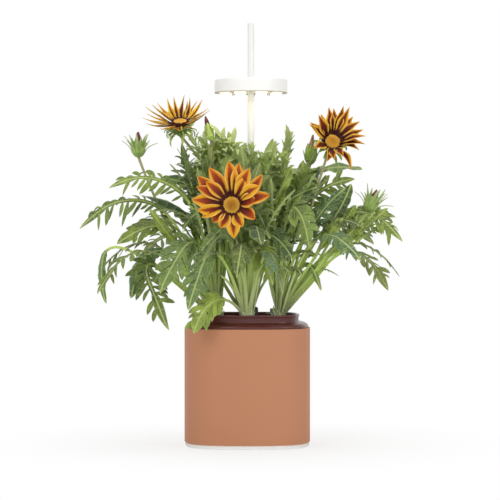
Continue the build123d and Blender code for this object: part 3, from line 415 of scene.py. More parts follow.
def lobeFinger(shape, origin, frames, hand, length, half, angles, droop, random, along, tint, bloom):
    # one separate lobe: it leaves the midrib sideways, swings forward from the first angle to the second and
    # droops with the square of its length; narrow at its foot, widest past the middle, with a blunt point
    side, top, ahead = frames
    s = np.linspace(0, 1, leafSize["fingerRows"])
    angle = angles[0] + (angles[1] - angles[0]) * s
    steps = (side * hand * np.cos(angle)[:, None] + ahead * np.sin(angle)[:, None]) * (length * s[1])
    line = origin + np.cumsum(steps, axis=0) - steps[0]
    line = line - (top * 0.5 + up * 0.5) * (droop * length * s ** 2)[:, None]
    line = line + top * (random.normal(0, 0.06) * length * np.sin(np.pi * s) - 0.15)[:, None]
    aheadHere = unit(np.gradient(line, axis=0))
    sideHere, topHere = steadyFrames(aheadHere, top + side * (hand * random.normal(0.1, 0.45)))
    v = np.linspace(-1, 1, leafSize["fingerColumns"])[None, :]
    shapeHalf = 0.40 + 0.60 * smoothStep(0, 0.5, s)
    shapeHalf = shapeHalf * (1 - np.clip((s - 0.45) / 0.55, 0, 1) ** 2.3) ** 0.8 + 0.02
    across = v * (half * shapeHalf)[:, None]
    fold = random.uniform(-0.45, 0.55)
    tint = tint + random.normal(0, 0.10)
    lift = fold * np.abs(across) - 0.25 * np.exp(-(across / 0.7) ** 2)
    thick = leafSize["bladeThick"] * (0.35 + 0.65 * roundedEdge(v))
    thick = thick + 0.35 * np.exp(-(across / 0.8) ** 2) * (1 - s)[:, None]
    fields = leafFields(4 * s[:, None] - 0.55 * np.abs(v), v, 1.0, along + length * s[:, None],
                        np.abs(across) * 1.6 + 0.75, tint, bloom)
    closedBlade(shape, line, (sideHere, topHere, aheadHere), across, lift, thick, fields)


def leafSkin(shape, start, bend, tip, width, blade, face, look, seed):
    # fern: a narrow wing with a terminal lobe and separate fingers; oak: a wider wing with broad fingers that
    # overlap; lance: a whole edge. Half width of the wing = stalk, then the kind's share of the width
    kind, lobes, cut, droop, fold, tint, bloom = look
    random = np.random.default_rng(seed)
    size = leafSize
    form = leafKinds[kind]
    width = width * form["width"]
    stalk = np.linspace(0, blade, size["stalkRows"], endpoint=False)
    share = np.linspace(0, 1, max(lobes, 5) * size["rowsPerLobe"] + 1)
    t = np.concatenate([stalk, blade + (1 - blade) * share])
    u = np.concatenate([np.zeros(len(stalk)), share])
    onBlade = np.concatenate([np.zeros(len(stalk)), np.ones(len(share))])
    bend, tip = np.array(bend, float), np.array(tip, float)
    outward = unit(bend * np.array([1, 1, 0]))
    origin = start + outward * site["crownRadius"] * random.uniform(0.2, 0.75)
    points, ahead = curveThrough(origin, start + bend, start + tip, t)
    side, top = steadyFrames(ahead, np.array(face, float))
    twist = random.normal(0, 0.22) * smoothStep(0.3, 1.0, t)
    side, top = (side * np.cos(twist)[:, None] + top * np.sin(twist)[:, None],
                 top * np.cos(twist)[:, None] - side * np.sin(twist)[:, None])
    length = np.concatenate([[0], np.cumsum(np.linalg.norm(np.diff(points, axis=0), axis=1))])
    wave = np.sin(length / size["swayLength"] + random.uniform(0, 6)) * size["sway"] * smoothStep(0.1, 0.5, t)
    points = points + side * wave[:, None]

    v = np.linspace(-1, 1, size["columns"])
    v = (np.sign(v) * np.abs(v) ** 1.25)[None, :]
    stalkHalf = size["stalkTop"] + (size["stalkBase"] - size["stalkTop"]) * (1 - smoothStep(0, 0.6 * blade, t))
    stalkHalf = stalkHalf * (1 - 0.85 * u)
    end = np.clip((u - 0.70) / 0.30, 0, 1)
    if kind == "lance":
        envelope = u ** 0.8 * (1 - u) ** 0.6
        ripples = [1 + 0.09 * np.sin(u * lobes * 6.28 + random.uniform(0, 6)) for hand in (0, 1)]
        left, right = [stalkHalf + width / 2 * envelope / envelope.max() * ripple * onBlade for ripple in ripples]
        wing = 0 * u
    else:
        wing = 0.5 + form["wing"] * width * np.sin(np.pi * np.clip(u * 0.9 + 0.06, 0, 1)) ** 0.7
        terminal = form["terminal"] * width * np.clip(4 * end * (1 - end), 0, 1) ** 0.8 * (1 - 0.3 * end)
        left = right = stalkHalf + (wing * (1 - end ** 3) + terminal) * onBlade
    half = np.where(v < 0, left[:, None], right[:, None])
    across = v * half
    far = np.abs(across)
    reach = max(width / 2, 4)
    bladeHere = onBlade[:, None]
    run = np.where(v < 0, (u * (lobes + 1.5) + 0.25)[:, None], (u * (lobes + 1.5) + 0.47)[:, None])
    quilt = size["quilt"] * np.cos(2 * np.pi * run) * (far / reach) * (1 - 0.6 * far / reach)
    ripple = np.sin(length[:, None] / size["rippleLength"] + 2.2 * v + random.uniform(0, 6))
    ripple = size["ripple"] * ripple * (far / reach) ** 2
    lift = (fold * far - droop * far ** 2 / reach + ripple - quilt * (kind == "lance")) * bladeHere
    lift = lift - size["groove"] * np.exp(-(across / size["ridgeReach"]) ** 2)
    ridge = size["ridge"] * (1 - 0.7 * u[:, None]) * np.exp(-(across / size["ridgeReach"]) ** 2)
    rounded = roundedEdge(v)
    thick = np.where(bladeHere > 0, size["bladeThick"] * (0.35 + 0.65 * rounded) + ridge,
                     size["stalkThick"] * rounded + 0.2)
    fields = leafFields(run, v, bladeHere, length[:, None], far, tint, bloom)
    closedBlade(shape, points, (side, top, ahead), across, lift, thick, fields, 0.1 * far * bladeHere)
    if kind == "lance":
        return
    pairs = lobes + form["extra"]
    for i in range(2 * pairs):
        hand = 1 if i % 2 else -1
        place = size["lobesFrom"] + size["lobesOver"] * (i + random.uniform(-0.3, 0.3)) / (2 * pairs - 1)
        row = len(stalk) + int(np.clip(place, 0, 1) * (len(share) - 1))
        long = cut * form["long"] * width * (0.26 + 0.34 * math.sin(math.pi * min(max(place * 0.85 + 0.12, 0), 1)))
        long *= random.uniform(0.75, 1.15)
        broad = min(max(long * random.uniform(*form["broad"]), 0.9), form["most"])
        turned = random.uniform(*form["angle"])
        foot = points[row] + side[row] * (hand * (0.3 + 0.5 * wing[row]))
        lobeFinger(shape, foot, (side[row], top[row], ahead[row]), hand, long, broad,
                   (turned, turned + random.uniform(*form["swing"])), droop * random.uniform(0.6, 1.6), random,
                   length[row], tint, bloom)


# Leafy shoots: where each bends and its tip, from where it springs; length of its leaves; how far they spread;
# tint; bluish bloom
sprigRows = {
    "left": [
        ((-14, -6, 160), (-25, -14, 194), 17, 1.2, 1.45, 0.1),
        ((-24, -4, 130), (-36, -10, 172), 17, 1.0, 0.35, 0.5),
        ((-16, 16, 130), (-26, 26, 166), 18, 1.0, 0.7, 0.3),
    ],
    "front": [
        ((-14, -6, 120), (-20, -10, 158), 16, 1.0, 0.6, 0.4),
        ((16, -4, 130), (22, -8, 166), 16, 1.0, 0.7, 0.2),
        ((2, 4, 140), (5, 6, 180), 17, 1.2, 1.35, 0.1),
        ((-8, 5, 136), (-7, 6, 174), 18, 1.2, 1.3, 0.1),
        ((10, 3, 130), (15, 3, 168), 18, 1.2, 1.2, 0.2),
    ],
    "right": [
        ((18, -8, 124), (30, -16, 158), 18, 1.0, 1.0, 0.2),
        ((6, -12, 140), (8, -20, 172), 16, 1.0, 1.25, 0.1),
        ((22, 16, 126), (34, 26, 160), 18, 1.0, 0.6, 0.4),
    ],
    "back": [
        ((-34, -30, 160), (-46, -48, 192), 19, 1.2, 1.55, 0.0),
        ((-22, -28, 166), (-28, -46, 196), 20, 1.25, 1.6, 0.0),
        ((-17, -28, 160), (-16, -46, 190), 19, 1.25, 1.5, 0.1),
        ((-17, -35, 150), (-10, -58, 182), 18, 1.3, 1.4, 0.2),
        ((-14, -44, 142), (2, -64, 172), 17, 1.2, 1.3, 0.2),
        ((25, -36, 146), (18, -58, 176), 17, 1.2, 1.3, 0.2),
        ((26, -28, 140), (31, -46, 170), 18, 1.2, 1.2, 0.3),
        ((38, -14, 150), (45, -20, 196), 19, 0.42, 1.4, 0.1),
        ((18, 14, 140), (26, 24, 180), 19, 1.0, 0.8, 0.2),
        ((-16, 14, 136), (-24, 24, 174), 19, 1.0, 0.7, 0.3),
    ],
}

sprigSize = {
    "leaves": 26,
    "leafyShare": 0.29,
    "half": 0.17,
    "rows": 8,
    "columns": 5,
}


def sprigSkin(shape, start, bend, tip, reach, spread, tint, bloom, seed):
    # a slim stem with small pointed leaves the golden angle apart, nearly upright at its tip and spreading
    # lower down; each leaf's half width = share of its length x u^0.6 (1 - u)^0.75
    random = np.random.default_rng(seed)
    size = sprigSize
    t = np.linspace(0, 1, 90)
    bend, tip = np.array(bend, float), np.array(tip, float)
    points, ahead = curveThrough(start + unit(bend * np.array([1, 1, 0])) * 3.0, start + bend, start + tip, t)
    rings = roundTube(points, ahead, 1.5 - 0.8 * t, 8)
    grid = np.zeros(rings.shape[:2])
    stem = leafFields(grid, grid, 0.0, 40 + grid, 5.0, tint, bloom)
    shape.addSkin(rings, {**stem, "underside": grid})
    u = np.linspace(0, 1, size["rows"])
    v = np.linspace(-1, 1, size["columns"])[None, :]
    envelope = u ** 0.6 * (1 - u) ** 0.75
    envelope = envelope / envelope.max() + 0.03
    turn = random.uniform(0, 6)
    for i in range(size["leaves"]):
        share = i / (size["leaves"] - 1)
        row = int((1 - size["leafyShare"] * share) * (len(t) - 1))
        first, second = planeOf(ahead[row])
        turn += goldenAngle + random.normal(0, 0.15)
        out = first * math.cos(turn) + second * math.sin(turn)
        length = reach * (0.70 + 0.35 * math.sin(math.pi * min(0.15 + share, 0.9))) * random.uniform(0.8, 1.15)
        # angle from the stem grows down it and along the leaf
        angle = spread * (0.25 + 0.75 * share + random.normal(0, 0.12) + random.uniform(0.3, 1.2) * u)
        steps = (ahead[row] * np.cos(angle)[:, None] + out * np.sin(angle)[:, None]) * (length * u[1])
        line = points[row] + out * 0.6 + np.cumsum(steps, axis=0) - steps[0]
        aheadHere = unit(np.gradient(line, axis=0))
        side, top = steadyFrames(aheadHere, ahead[row] - out * 0.4 + first * random.normal(0, 0.25))
        across = v * (size["half"] * length * envelope)[:, None]
        lift = random.uniform(0.1, 0.5) * np.abs(across) - 0.2 * np.exp(-(across / 0.6) ** 2)
        thick = 0.30 * (0.35 + 0.65 * roundedEdge(v)) + 0 * across
        fields = leafFields(5 * u[:, None] - 0.5 * np.abs(v), v, 1.0, 30 + length * u[:, None],
                            np.abs(across) * 1.5 + 0.55, tint + random.normal(0, 0.12), bloom)
        closedBlade(shape, line, (side, top, aheadHere), across, lift, thick, fields)


def fillerRows(name, _):
    # tall steep leaves near the mast to low ones at the rim, turned round by the golden section; nothing random
    rows = []
    for i in range(filler["count"]):
        share = (i + 0.5) / filler["count"]
        turn = (filler["count"] * share * filler["step"] + 0.17) % 1.0 - 0.5
        angle = math.radians(filler["sector"][name] + filler["spread"] * turn)
        outX, outY = math.cos(angle), math.sin(angle)
        out = between(filler["out"], share) * filler["share"][name]
        rise, fall = between(filler["rise"], share), between(filler["fall"], share)
        reach = out * 1.3 + filler["overhang"]
        lean = 0.5 * math.sin(2.4 * i)
        rows.append(((out * outX, out * outY, rise), (reach * outX, reach * outY, rise - fall),
                     filler["width"] + filler["widthStep"] * ((i * 3) % 4), 0.46,
                     (-0.3 * outX - lean * outY, lean * outX - 0.3 * outY, 1.0)))
    return rows


def youngRows(name, random):
    # short leaves round the crown, from nearly upright to lying on the rim
    rows = []
    for i in range(young["count"]):
        angle = math.radians(filler["sector"][name] + young["spread"] * ((i * goldenShare) % 1 - 0.5))
        share = (i + 0.5) / young["count"]
        out = between(young["reach"], share)
        tall = between(young["height"], share * random.uniform(0.7, 1.0))
        outX, outY = math.cos(angle), math.sin(angle)
        rows.append(((out * outX, out * outY, tall), (1.6 * out * outX, 1.6 * out * outY, tall * 1.04 - 12 * share),
                     random.uniform(*young["width"]), 0.5, (-0.4 * outX, -0.4 * outY, 1.0)))
    return rows


def crestRows(name, random):
    # slender leaves that fill the crest of the plant, between the flowers' stems
    rows = []
    for i in range(crest["count"]):
        angle = math.radians(filler["sector"][name] + crest["spread"] * ((i * goldenShare + 0.3) % 1 - 0.5))
        out = random.uniform(*crest["reach"])
        tall = random.uniform(*crest["height"])
        outX, outY = math.cos(angle), math.sin(angle)
        over = random.uniform(1.3, 1.7)
        rows.append(((out * outX, out * outY, tall * 0.82),
                     (over * out * outX, over * out * outY, tall + random.uniform(-8, 6)),
                     random.uniform(*crest["width"]), 0.58, (-0.5 * outX, -0.5 * outY - 0.4, 1.0)))
    return rows


def anyLook(random, tints):
    # the look of a leaf that isn't given one by itself: kind, lobes, cut, droop, fold, tint and bloom
    kind = ("fern", "fern", "oak", "lance")[int(random.integers(0, 4))]
    cut = {"fern": random.uniform(0.75, 1.0), "oak": random.uniform(0.8, 1.0), "lance": 0.1}[kind]
    return (kind, int(random.integers(4, 7)), cut, random.uniform(0.1, 0.4), random.uniform(-0.25, 0.2),
            random.uniform(*tints), max(0, random.uniform(-0.8, 1.0)))


# Leaves of a trailing daisy: soft and felted, which dulls their light; green from deep to fresh above and paler
# below, with a pale midrib and a bluish bloom on some
def leafMaterial():
    material, add, where = startMaterial("FeltedDaisyLeaf")
    lobe, offMiddle, onBlade = readField(add, "leafPlace")
    along, far, tint = readField(add, "leafMeasure")
    under, bloomed = [add("Attribute", {"attribute_name": key}).outputs["Fac"] for key in ("underside", "leafBloom")]
    patches = add("TexNoise", {"Scale": 75.0, "Detail": 4.0}, {"Vector": where})  # patches about 13 mm across
    grain = add("TexNoise", {"Scale": 900.0, "Detail": 2.0}, {"Vector": where})  # felt about 1 mm across
    # green from deep to fresh by each leaf's own tint, stirred by the patches
    patchShare = add("MapRange", {1: 0.3, 2: 0.7, 3: -0.3, 4: 0.3}, {0: patches})
    tintHere = add("Math ADD", {"use_clamp": True}, {0: tint, 1: patchShare})
    green = add("Mix RGBA", {6: "#384B16", 7: "#A5BD45"}, {0: tintHere})
    # a tint over 1 is a young leaf, paler still; on the crest such tints are partly painted light, for the lamp above
    # lighting the top of the plant
    youthAndLampLight = add("MapRange", {1: 1.0, 2: 1.8}, {0: tint})
    fresh = add("Mix RGBA", {7: "#E6EDBE"}, {0: youthAndLampLight, 6: green})
    greyShare = add("Math MULTIPLY", {1: 0.6}, {0: bloomed})
    greyed = add("Mix RGBA", {7: "#5F8F6C"}, {0: greyShare, 6: fresh})
    # pale midrib within a millimetre of the middle; side veins run out along the middle of each lobe
    midrib = add("MapRange SMOOTHSTEP", {1: 0.45, 2: 1.2, 3: 0.85, 4: 0.0}, {0: far})
    inLobe = add("Math FRACT", links={0: lobe})
    fromVein = add("Math SUBTRACT", {1: 0.5}, {0: inLobe})
    away = add("Math ABSOLUTE", links={0: fromVein})
    sideVein = add("MapRange SMOOTHSTEP", {1: 0.02, 2: 0.09, 3: 0.4, 4: 0.0}, {0: away})
    veinHere = add("Math MULTIPLY", links={0: sideVein, 1: onBlade})
    veins = add("Math MAXIMUM", links={0: midrib, 1: veinHere})
    veined = add("Mix RGBA", {7: "#C9D584"}, {0: veins, 6: greyed})
    # stalks are pale green, and greyer where they spring from the crown, where they are also darker with painted
    # shade among the crowded stalks
    fromShadedFoot = add("MapRange", {1: 6.0, 2: 60.0}, {0: along})
    stalk = add("Mix RGBA", {6: "#9EA67A", 7: "#C6E070"}, {0: fromShadedFoot})
    withStalk = add("Mix RGBA", links={0: onBlade, 6: stalk, 7: veined})
    # a net of the finest veins about 2.5 mm apart, and a pale painted highlight along the edge of every lobe
    net = add("TexVoronoi DISTANCE_TO_EDGE", {"Scale": 400.0}, {"Vector": where})
    netShare = add("MapRange", {1: 0.02, 2: 0.16, 3: 0.16, 4: 0.0}, {0: net})
    offEdge = add("Math ABSOLUTE", links={0: offMiddle})
    # painted highlight: the blade grows paler from 0.78 of its half width out to its edge
    edge = add("MapRange", {1: 0.78, 2: 1.0, 4: 0.55}, {0: offEdge})
    paler = add("Math MAXIMUM", links={0: netShare, 1: edge})
    veinsAndEdgeHighlight = add("Math MULTIPLY", links={0: paler, 1: onBlade})
    edged = add("Mix RGBA", {7: "#C6D68A"}, {0: veinsAndEdgeHighlight, 6: withStalk})
    underShare = add("Math MULTIPLY", {1: 0.48}, {0: under})
    colour = add("Mix RGBA", {7: "#C2D08A"}, {0: underShare, 6: edged})
    rough = add("MapRange", {3: 0.38, 4: 0.60}, {0: grain})
    raised = add("Math ADD", links={0: grain, 1: veins})
    heights = add("Math MULTIPLY_ADD", {1: 3.0}, {0: netShare, 2: raised})
    surface, bump = coat(add, colour, heights, 0.45, 0.5, {"Specular IOR Level": 0.5, "Sheen Weight": 0.18,
                                                           "Sheen Roughness": 0.4}, {"Roughness": rough})
    glow = add("BsdfTranslucent", links={"Color": colour, "Normal": bump})
    throughShare = add("Math MULTIPLY", {1: 0.28}, {0: onBlade})
    mixed = add("MixShader", links={0: throughShare, 1: surface, 2: glow})
    add("OutputMaterial", links={"Surface": mixed})
    return material


# Which rows fill which piece, and where their seeds start
grown = (("leaves_", fillerRows, filler, seeds["filler"]), ("heart_leaves_", youngRows, young, seeds["young"]),
         ("heart_leaves_", crestRows, crest, seeds["crest"]))
leafLook = leafMaterial()
for plantNumber, (name, start) in enumerate(sites.items()):
    random = np.random.default_rng(seeds["plant"] + plantNumber)
    groups = {"leaves_": Shape(), "heart_leaves_": Shape(), "shoots_": Shape()}
    seed = 100 * plantNumber
    for number, (bend, tip, width, blade, turn, *look) in enumerate(leafRows[name]):
        face = (0.0, -math.sin(math.radians(turn)), math.cos(math.radians(turn)))
        leafSkin(groups["leaves_"], start, bend, tip, width, blade, face, look, seed + number)
    for group, rowsOf, values, first in grown:
        for number, row in enumerate(rowsOf(name, random)):
            leafSkin(groups[group], start, *row, anyLook(random, values["tints"]), first + seed + number)
    for number, row in enumerate(sprigRows[name]):
        sprigSkin(groups["shoots_"], start, *row, seeds["shoot"] + seed + number)
    for group, shape in groups.items():
        shape.make(group + name, leafLook, "deck", "leaf_green", ["plant_" + name])
    print("leaves", name, sum(shape.count for shape in groups.values()), "points")


# Each bloom: the plant that bears it, where its stem bends and its middle, from where the stem springs, and
# the way that it faces
blooms = {
    "flower_front": ("front", (-10, -22.5, 79), (-16.5, -62.5, 121), (0.05, -1, 0.1)),
    "flower_left": ("left", (-10.5, -4, 159), (-40, -8, 211), (-0.05, -0.33, 0.94)),
    "flower_right": ("right", (32.5, -6, 103), (59, -18, 190), (0.22, -0.85, 0.46)),
    "bud_left": ("left", (-60.5, 8, 111), (-86.5, 6, 185), (-0.02, -0.05, 1)),
    "bud_centre": ("left", (-6.5, -10, 109), (-8, -12, 202), (-0.25, 0, 1)),
    "bud_right": ("right", (50.5, -4, 63), (102.5, -12, 124), (0.4, -0.1, 1)),
    "bud_spent": ("right", (20.5, 8, 95), (36.5, 8, 177), (0.1, 0, 1)),
}

# Tips of each flower's petals, sideways and upwards from the middle of its disc, going round it
petalTips = {
    "flower_front": [(-3, 47), (8, 45), (19, 39), (33, 33), (41, 11), (30, 20), (26, 5), (25, -15), (12, -23),
                     (3, -35), (-12, -24), (-20, -18), (-31, -13), (-36, -5), (-42, 6), (-37, 20), (-36, 31),
                     (-24, 40), (-27, 25), (14, 30)],
    "flower_left": [(-8, 31), (4, 31), (10, 28), (18, 26), (24, 26), (30, 19), (32, 14), (23, 5), (13, -5), (4, -9),
                    (-6, -8), (-21, -8), (-36, -3), (-41, 5), (-37, 11), (-26, 23), (-38, 16), (14, 20),
                    (-31, 19), (-34, 2), (27, 9), (-13, -9), (7, 24), (-15, 28)],
    "flower_right": [(-3, 40), (3, 40), (13, 41), (19, 39), (24, 30), (32, 25), (35, 15), (36, 7), (35, -2), (29, -8),
                     (21, -29), (12, -15), (2, -19), (-6, -21), (-20, -6), (-25, 20), (-24, 23), (-15, 30),
                     (-11, 33)],
}

# reach: a petal's length from the middle of the disc; fold: how far its edges stand up; bulge and recurve: how
# far it arches and bends back; point: under 1 ends in a long spike, 2 in a blunt point; deep: most that a tip may
# stand before or behind the disc; hues: from red (0) to yellow (1); disc: scale of the disc; bracts: how curly
flowerLook = {
    "flower_front": {"reach": 44.0, "width": 15.0, "fold": 0.20, "bulge": 3.0, "recurve": 2.5, "point": 2.1,
                     "deep": 9.0, "hues": (0.05, 0.85), "disc": 1.0, "bracts": 0.2},
    "flower_left": {"reach": 40.0, "width": 6.6, "fold": 0.60, "bulge": -2.0, "recurve": -2.0, "point": 0.80,
                    "deep": 33.0, "hues": (0.1, 1.1), "disc": 0.76, "bracts": 0.55},
    "flower_right": {"reach": 42.0, "width": 12.2, "fold": 0.42, "bulge": 2.0, "recurve": 1.0, "point": 0.85,
                     "deep": 22.0, "hues": (0.0, 0.5), "disc": 0.95, "bracts": 0.4},
}

budLook = {
    "bud_left": {"radius": 8.5, "tip": 9.0, "open": 0.80, "sepals": (14, 20)},
    "bud_centre": {"radius": 5.4, "tip": 8.5, "open": 0.06, "sepals": (10, 14)},
    "bud_right": {"radius": 8.6, "tip": 6.0, "open": 0.75, "sepals": (16, 24)},
    "bud_spent": {"radius": 7.4, "tip": 13.0, "open": 0.34, "sepals": (12, 18)},
}

bloomSize = {
    "discRadius": 8.6,
    "florets": 190,
    "floretRadius": 0.56,
    "floretProfile": [(1.0, -2.6), (1.0, 0.5), (0.65, 1.4), (0.3, 0.7)],
    "anthers": 34,
    "antherRadius": 0.95,
    "antherRings": ((9.7, 2.7), (11.5, 1.9)),
    "antherPlace": 1.6,
    "discSides": 32,
    "calyxLength": 15.0,
    "budLength": 21.0,
    "stemRadius": 1.55,
    "petalRows": 22,
    "petalColumns": 11,
    "petalThick": 0.4,
    "petalWidest": 0.58,
    "petalGroove": 0.22,
}


def bloomMiddle(name):
    # the middle of a bloom, and the way that it faces
    bearer, _, middle, facing = blooms[name]
    return sites[bearer] + np.array(middle, float), unit(np.array(facing, float))


def bladeSkin(shape, line, face, half, thick, fold, extra, columns, grooves=0.13):
    # a thin blade along a line, half across, its edges raised by fold x distance and combed with fine grooves
    ahead = unit(np.gradient(line, axis=0))
    side, top = steadyFrames(ahead, face)
    v = np.linspace(-1, 1, columns)[None, :]
    across = v * half[:, None]
    lift = fold * np.abs(across) + grooves * np.cos(3 * np.pi * v) * np.minimum(half[:, None] / 3, 1)
    rounded = 0.35 + 0.65 * roundedEdge(v, 1)
    place = np.stack(np.broadcast_arrays(np.linspace(0, 1, len(line))[:, None], v, extra), axis=-1)
    closedBlade(shape, line, (side, top, ahead), across, lift, thick * rounded + 0 * across, {"petalPlace": place})


def petalShape(shape, middle, facing, tip, look, layer, random):
    # from the disc's rim to the tip, arching forward on the way and bending back at the end
    size = bloomSize
    t = np.linspace(0, 1, size["petalRows"])
    flat = tip - middle - facing * np.dot(tip - middle, facing)
    base = middle + unit(flat) * size["discRadius"] * 0.80 + facing * layer
    line = base + (tip - base) * t[:, None]
    line = line + facing * (look["bulge"] * 4 * t * (1 - t) - look["recurve"] * t ** 3)[:, None]
    line = line + facing * (random.normal(0, 1.0) * t ** 2)[:, None]
    bendy = np.cross(facing, unit(flat)) * random.normal(0, 1.2)
    line = line + bendy * np.sin(np.pi * t)[:, None]
    rising = 0.34 + 0.66 * smoothStep(0, size["petalWidest"], t)
    falling = 1 - np.clip((t - 0.50) / 0.50, 0, 1) ** look["point"]
    half = look["width"] / 2 * random.uniform(0.85, 1.1) * rising * falling + 0.1
    extra = random.uniform(*look["hues"])
    bladeSkin(shape, line, facing + unit(flat) * 0.1 + bendy * 0.2, half, size["petalThick"],
              look["fold"] + random.normal(0, 0.12), extra, size["petalColumns"], size["petalGroove"])


def evenField(rings, *parts):
    # a vector for each point of the rings, whose parts are values or columns of them
    return np.stack(np.broadcast_arrays(np.zeros(rings.shape[:2]), *parts)[1:], axis=-1)


def plainFields(rings, x, z=0.0):
    return {"petalPlace": evenField(rings, x, 0.0, z), "underside": np.zeros(rings.shape[:2])}


def pegs(shape, centres, leaning, wide, profile, place, sides=6):
    # a small turned peg at each centre; the profile gives radius and height as shares of its width
    turn = fullTurn(sides)
    outwards = np.array([k for k, z in profile])[:, None]
    for i, centre in enumerate(centres):
        circle = around(leaning[i], turn)
        rings = np.stack([centre + leaning[i] * (z * wide[i]) + circle * (k * wide[i]) for k, z in profile])
        shape.addSkin(rings, {"floretPlace": evenField(rings, place[i], outwards, 0.0)})


def discShape(shape, middle, facing, scale):
    # florets on a low dome, the golden angle apart, r = radius x sqrt(share), inside rings of dark anthers
    size = bloomSize
    number = np.arange(size["florets"])
    share = (number + 0.5) / size["florets"]
    outward = around(facing, number * goldenAngle)
    centres = middle + outward * (size["discRadius"] * scale * np.sqrt(share))[:, None]
    centres = centres + facing * (2.4 + 2.6 * (1 - share) ** 0.7)[:, None]
    leaning = unit(facing + outward * (0.35 * share)[:, None])
    pegs(shape, centres, leaning, size["floretRadius"] * (0.8 + 0.5 * share), size["floretProfile"], share * 0.8)
    for layer, (reach, tall) in enumerate(size["antherRings"]):
        angle = fullTurn(size["anthers"]) + np.pi * layer / size["anthers"]
        outward = around(facing, angle)
        leaning = unit(facing + outward * (0.5 + 0.4 * layer))
        profile = [(1.0, -2.0), (0.9, tall * 0.6), (0.6, tall * 1.1), (0.2, tall * 1.3)]
        wide = size["antherRadius"] * (0.8 + 0.35 * np.sin(angle * 5) ** 2)
        pegs(shape, middle + outward * (reach * scale) + facing * (0.9 - 0.3 * layer), leaning, wide, profile,
             np.full(size["anthers"], size["antherPlace"]))
    # the dome that the florets stand on
    dome = [(size["discRadius"] * k, 1.4 + 2.9 * (1 - k * k) ** 0.7) for k in np.linspace(1, 0.02, 8)]
    circle = around(facing, fullTurn(size["discSides"])) * scale
    rings = np.stack([middle + facing * z + circle * r for r, z in [(10.6, -1.0), (10.4, 0.4), *dome]])
    shape.addSkin(rings, {"floretPlace": evenField(rings, size["antherPlace"], 0.0, 0.0)})


calyxSize = {
    "cup": [(1.5, -15.0), (2.0, -14.0), (4.4, -12.4), (6.2, -9.5), (7.0, -6.0), (7.4, -3.0), (7.0, -1.2),
            (4.0, -0.6)],
    "sides": 48,
    "ribs": 12,
    "ribRelief": 0.045,
    "bractRings": ((16, -4.0), (13, -6.5), (9, -9.0)),
    "bractLong": (8, 11),
    "bractHalf": 2.2,
    "bractThick": 0.5,
    "bractFold": 0.35,
    "bractRows": 14,
    "bractColumns": 5,
}


def cupSkin(shape, middle, facing, profile, sides, ribs, relief):
    # a ribbed cup turned from a profile of radius and height
    turn = fullTurn(sides)
    circle = around(facing, turn) * (1 + relief * np.cos(ribs * turn))[:, None]
    rings = np.stack([middle + facing * z + circle * r for r, z in profile])
    shape.addSkin(rings, plainFields(rings, np.linspace(0, 0.4, len(profile))[:, None]))


def calyxShape(shape, middle, facing, curl, random):
    # a ribbed cup under the petals, and pointed bracts round its rim that flare and curl down by curl
    size = calyxSize
    cupSkin(shape, middle, facing, size["cup"], size["sides"], size["ribs"], size["ribRelief"])
    t = np.linspace(0, 1, size["bractRows"])
    for layer, (count, depth) in enumerate(size["bractRings"]):
        for i in range(count):
            out = around(facing, 2 * math.pi * (i + 0.5 * layer) / count + random.normal(0, 0.15))
            long = random.uniform(*size["bractLong"]) * (1 + 0.2 * curl * layer) * random.choice([0.7, 1.0, 1.0, 1.3])
            flare = 0.75 + 0.25 * layer * curl
            line = (middle + out * (7.0 - 0.7 * layer) + facing * depth
                    + out * (long * flare * np.sin(t * (1.3 + 0.6 * curl * layer)))[:, None]
                    + facing * (long * (0.35 - 0.1 * layer) * t)[:, None]
                    - (facing + up * 0.4) * (curl * long * 0.62 * layer * t ** 2.1)[:, None])
            half = size["bractHalf"] * (1 - t) ** 0.6 * (0.7 + 0.6 * t) + 0.12
            bladeSkin(shape, line, facing - out * 0.6, half, size["bractThick"], size["bractFold"],
                      random.uniform(0, 1), size["bractColumns"])


def stemSkin(shape, start, bend, end, random):
    # a round tube along the stem's curve, thicker at the foot and under the flower
    t = np.linspace(0, 1, 44)
    outward = unit((bend - start) * np.array([1, 1, 0]))
    points, ahead = curveThrough(start + outward * 2.5, bend, end, t)
    sway = np.sin(t * np.pi) * 0.8 * np.sin(t * 9 + random.uniform(0, 6))
    points = points + np.array([1.0, 0.3, 0]) * sway[:, None]
    radius = bloomSize["stemRadius"] * (1.15 - 0.25 * smoothStep(0, 0.6, t) + 0.18 * smoothStep(0.92, 1, t))
    rings = roundTube(points, ahead, radius, 12)
    shape.addSkin(rings, plainFields(rings, t[:, None], random.uniform(0, 1)))


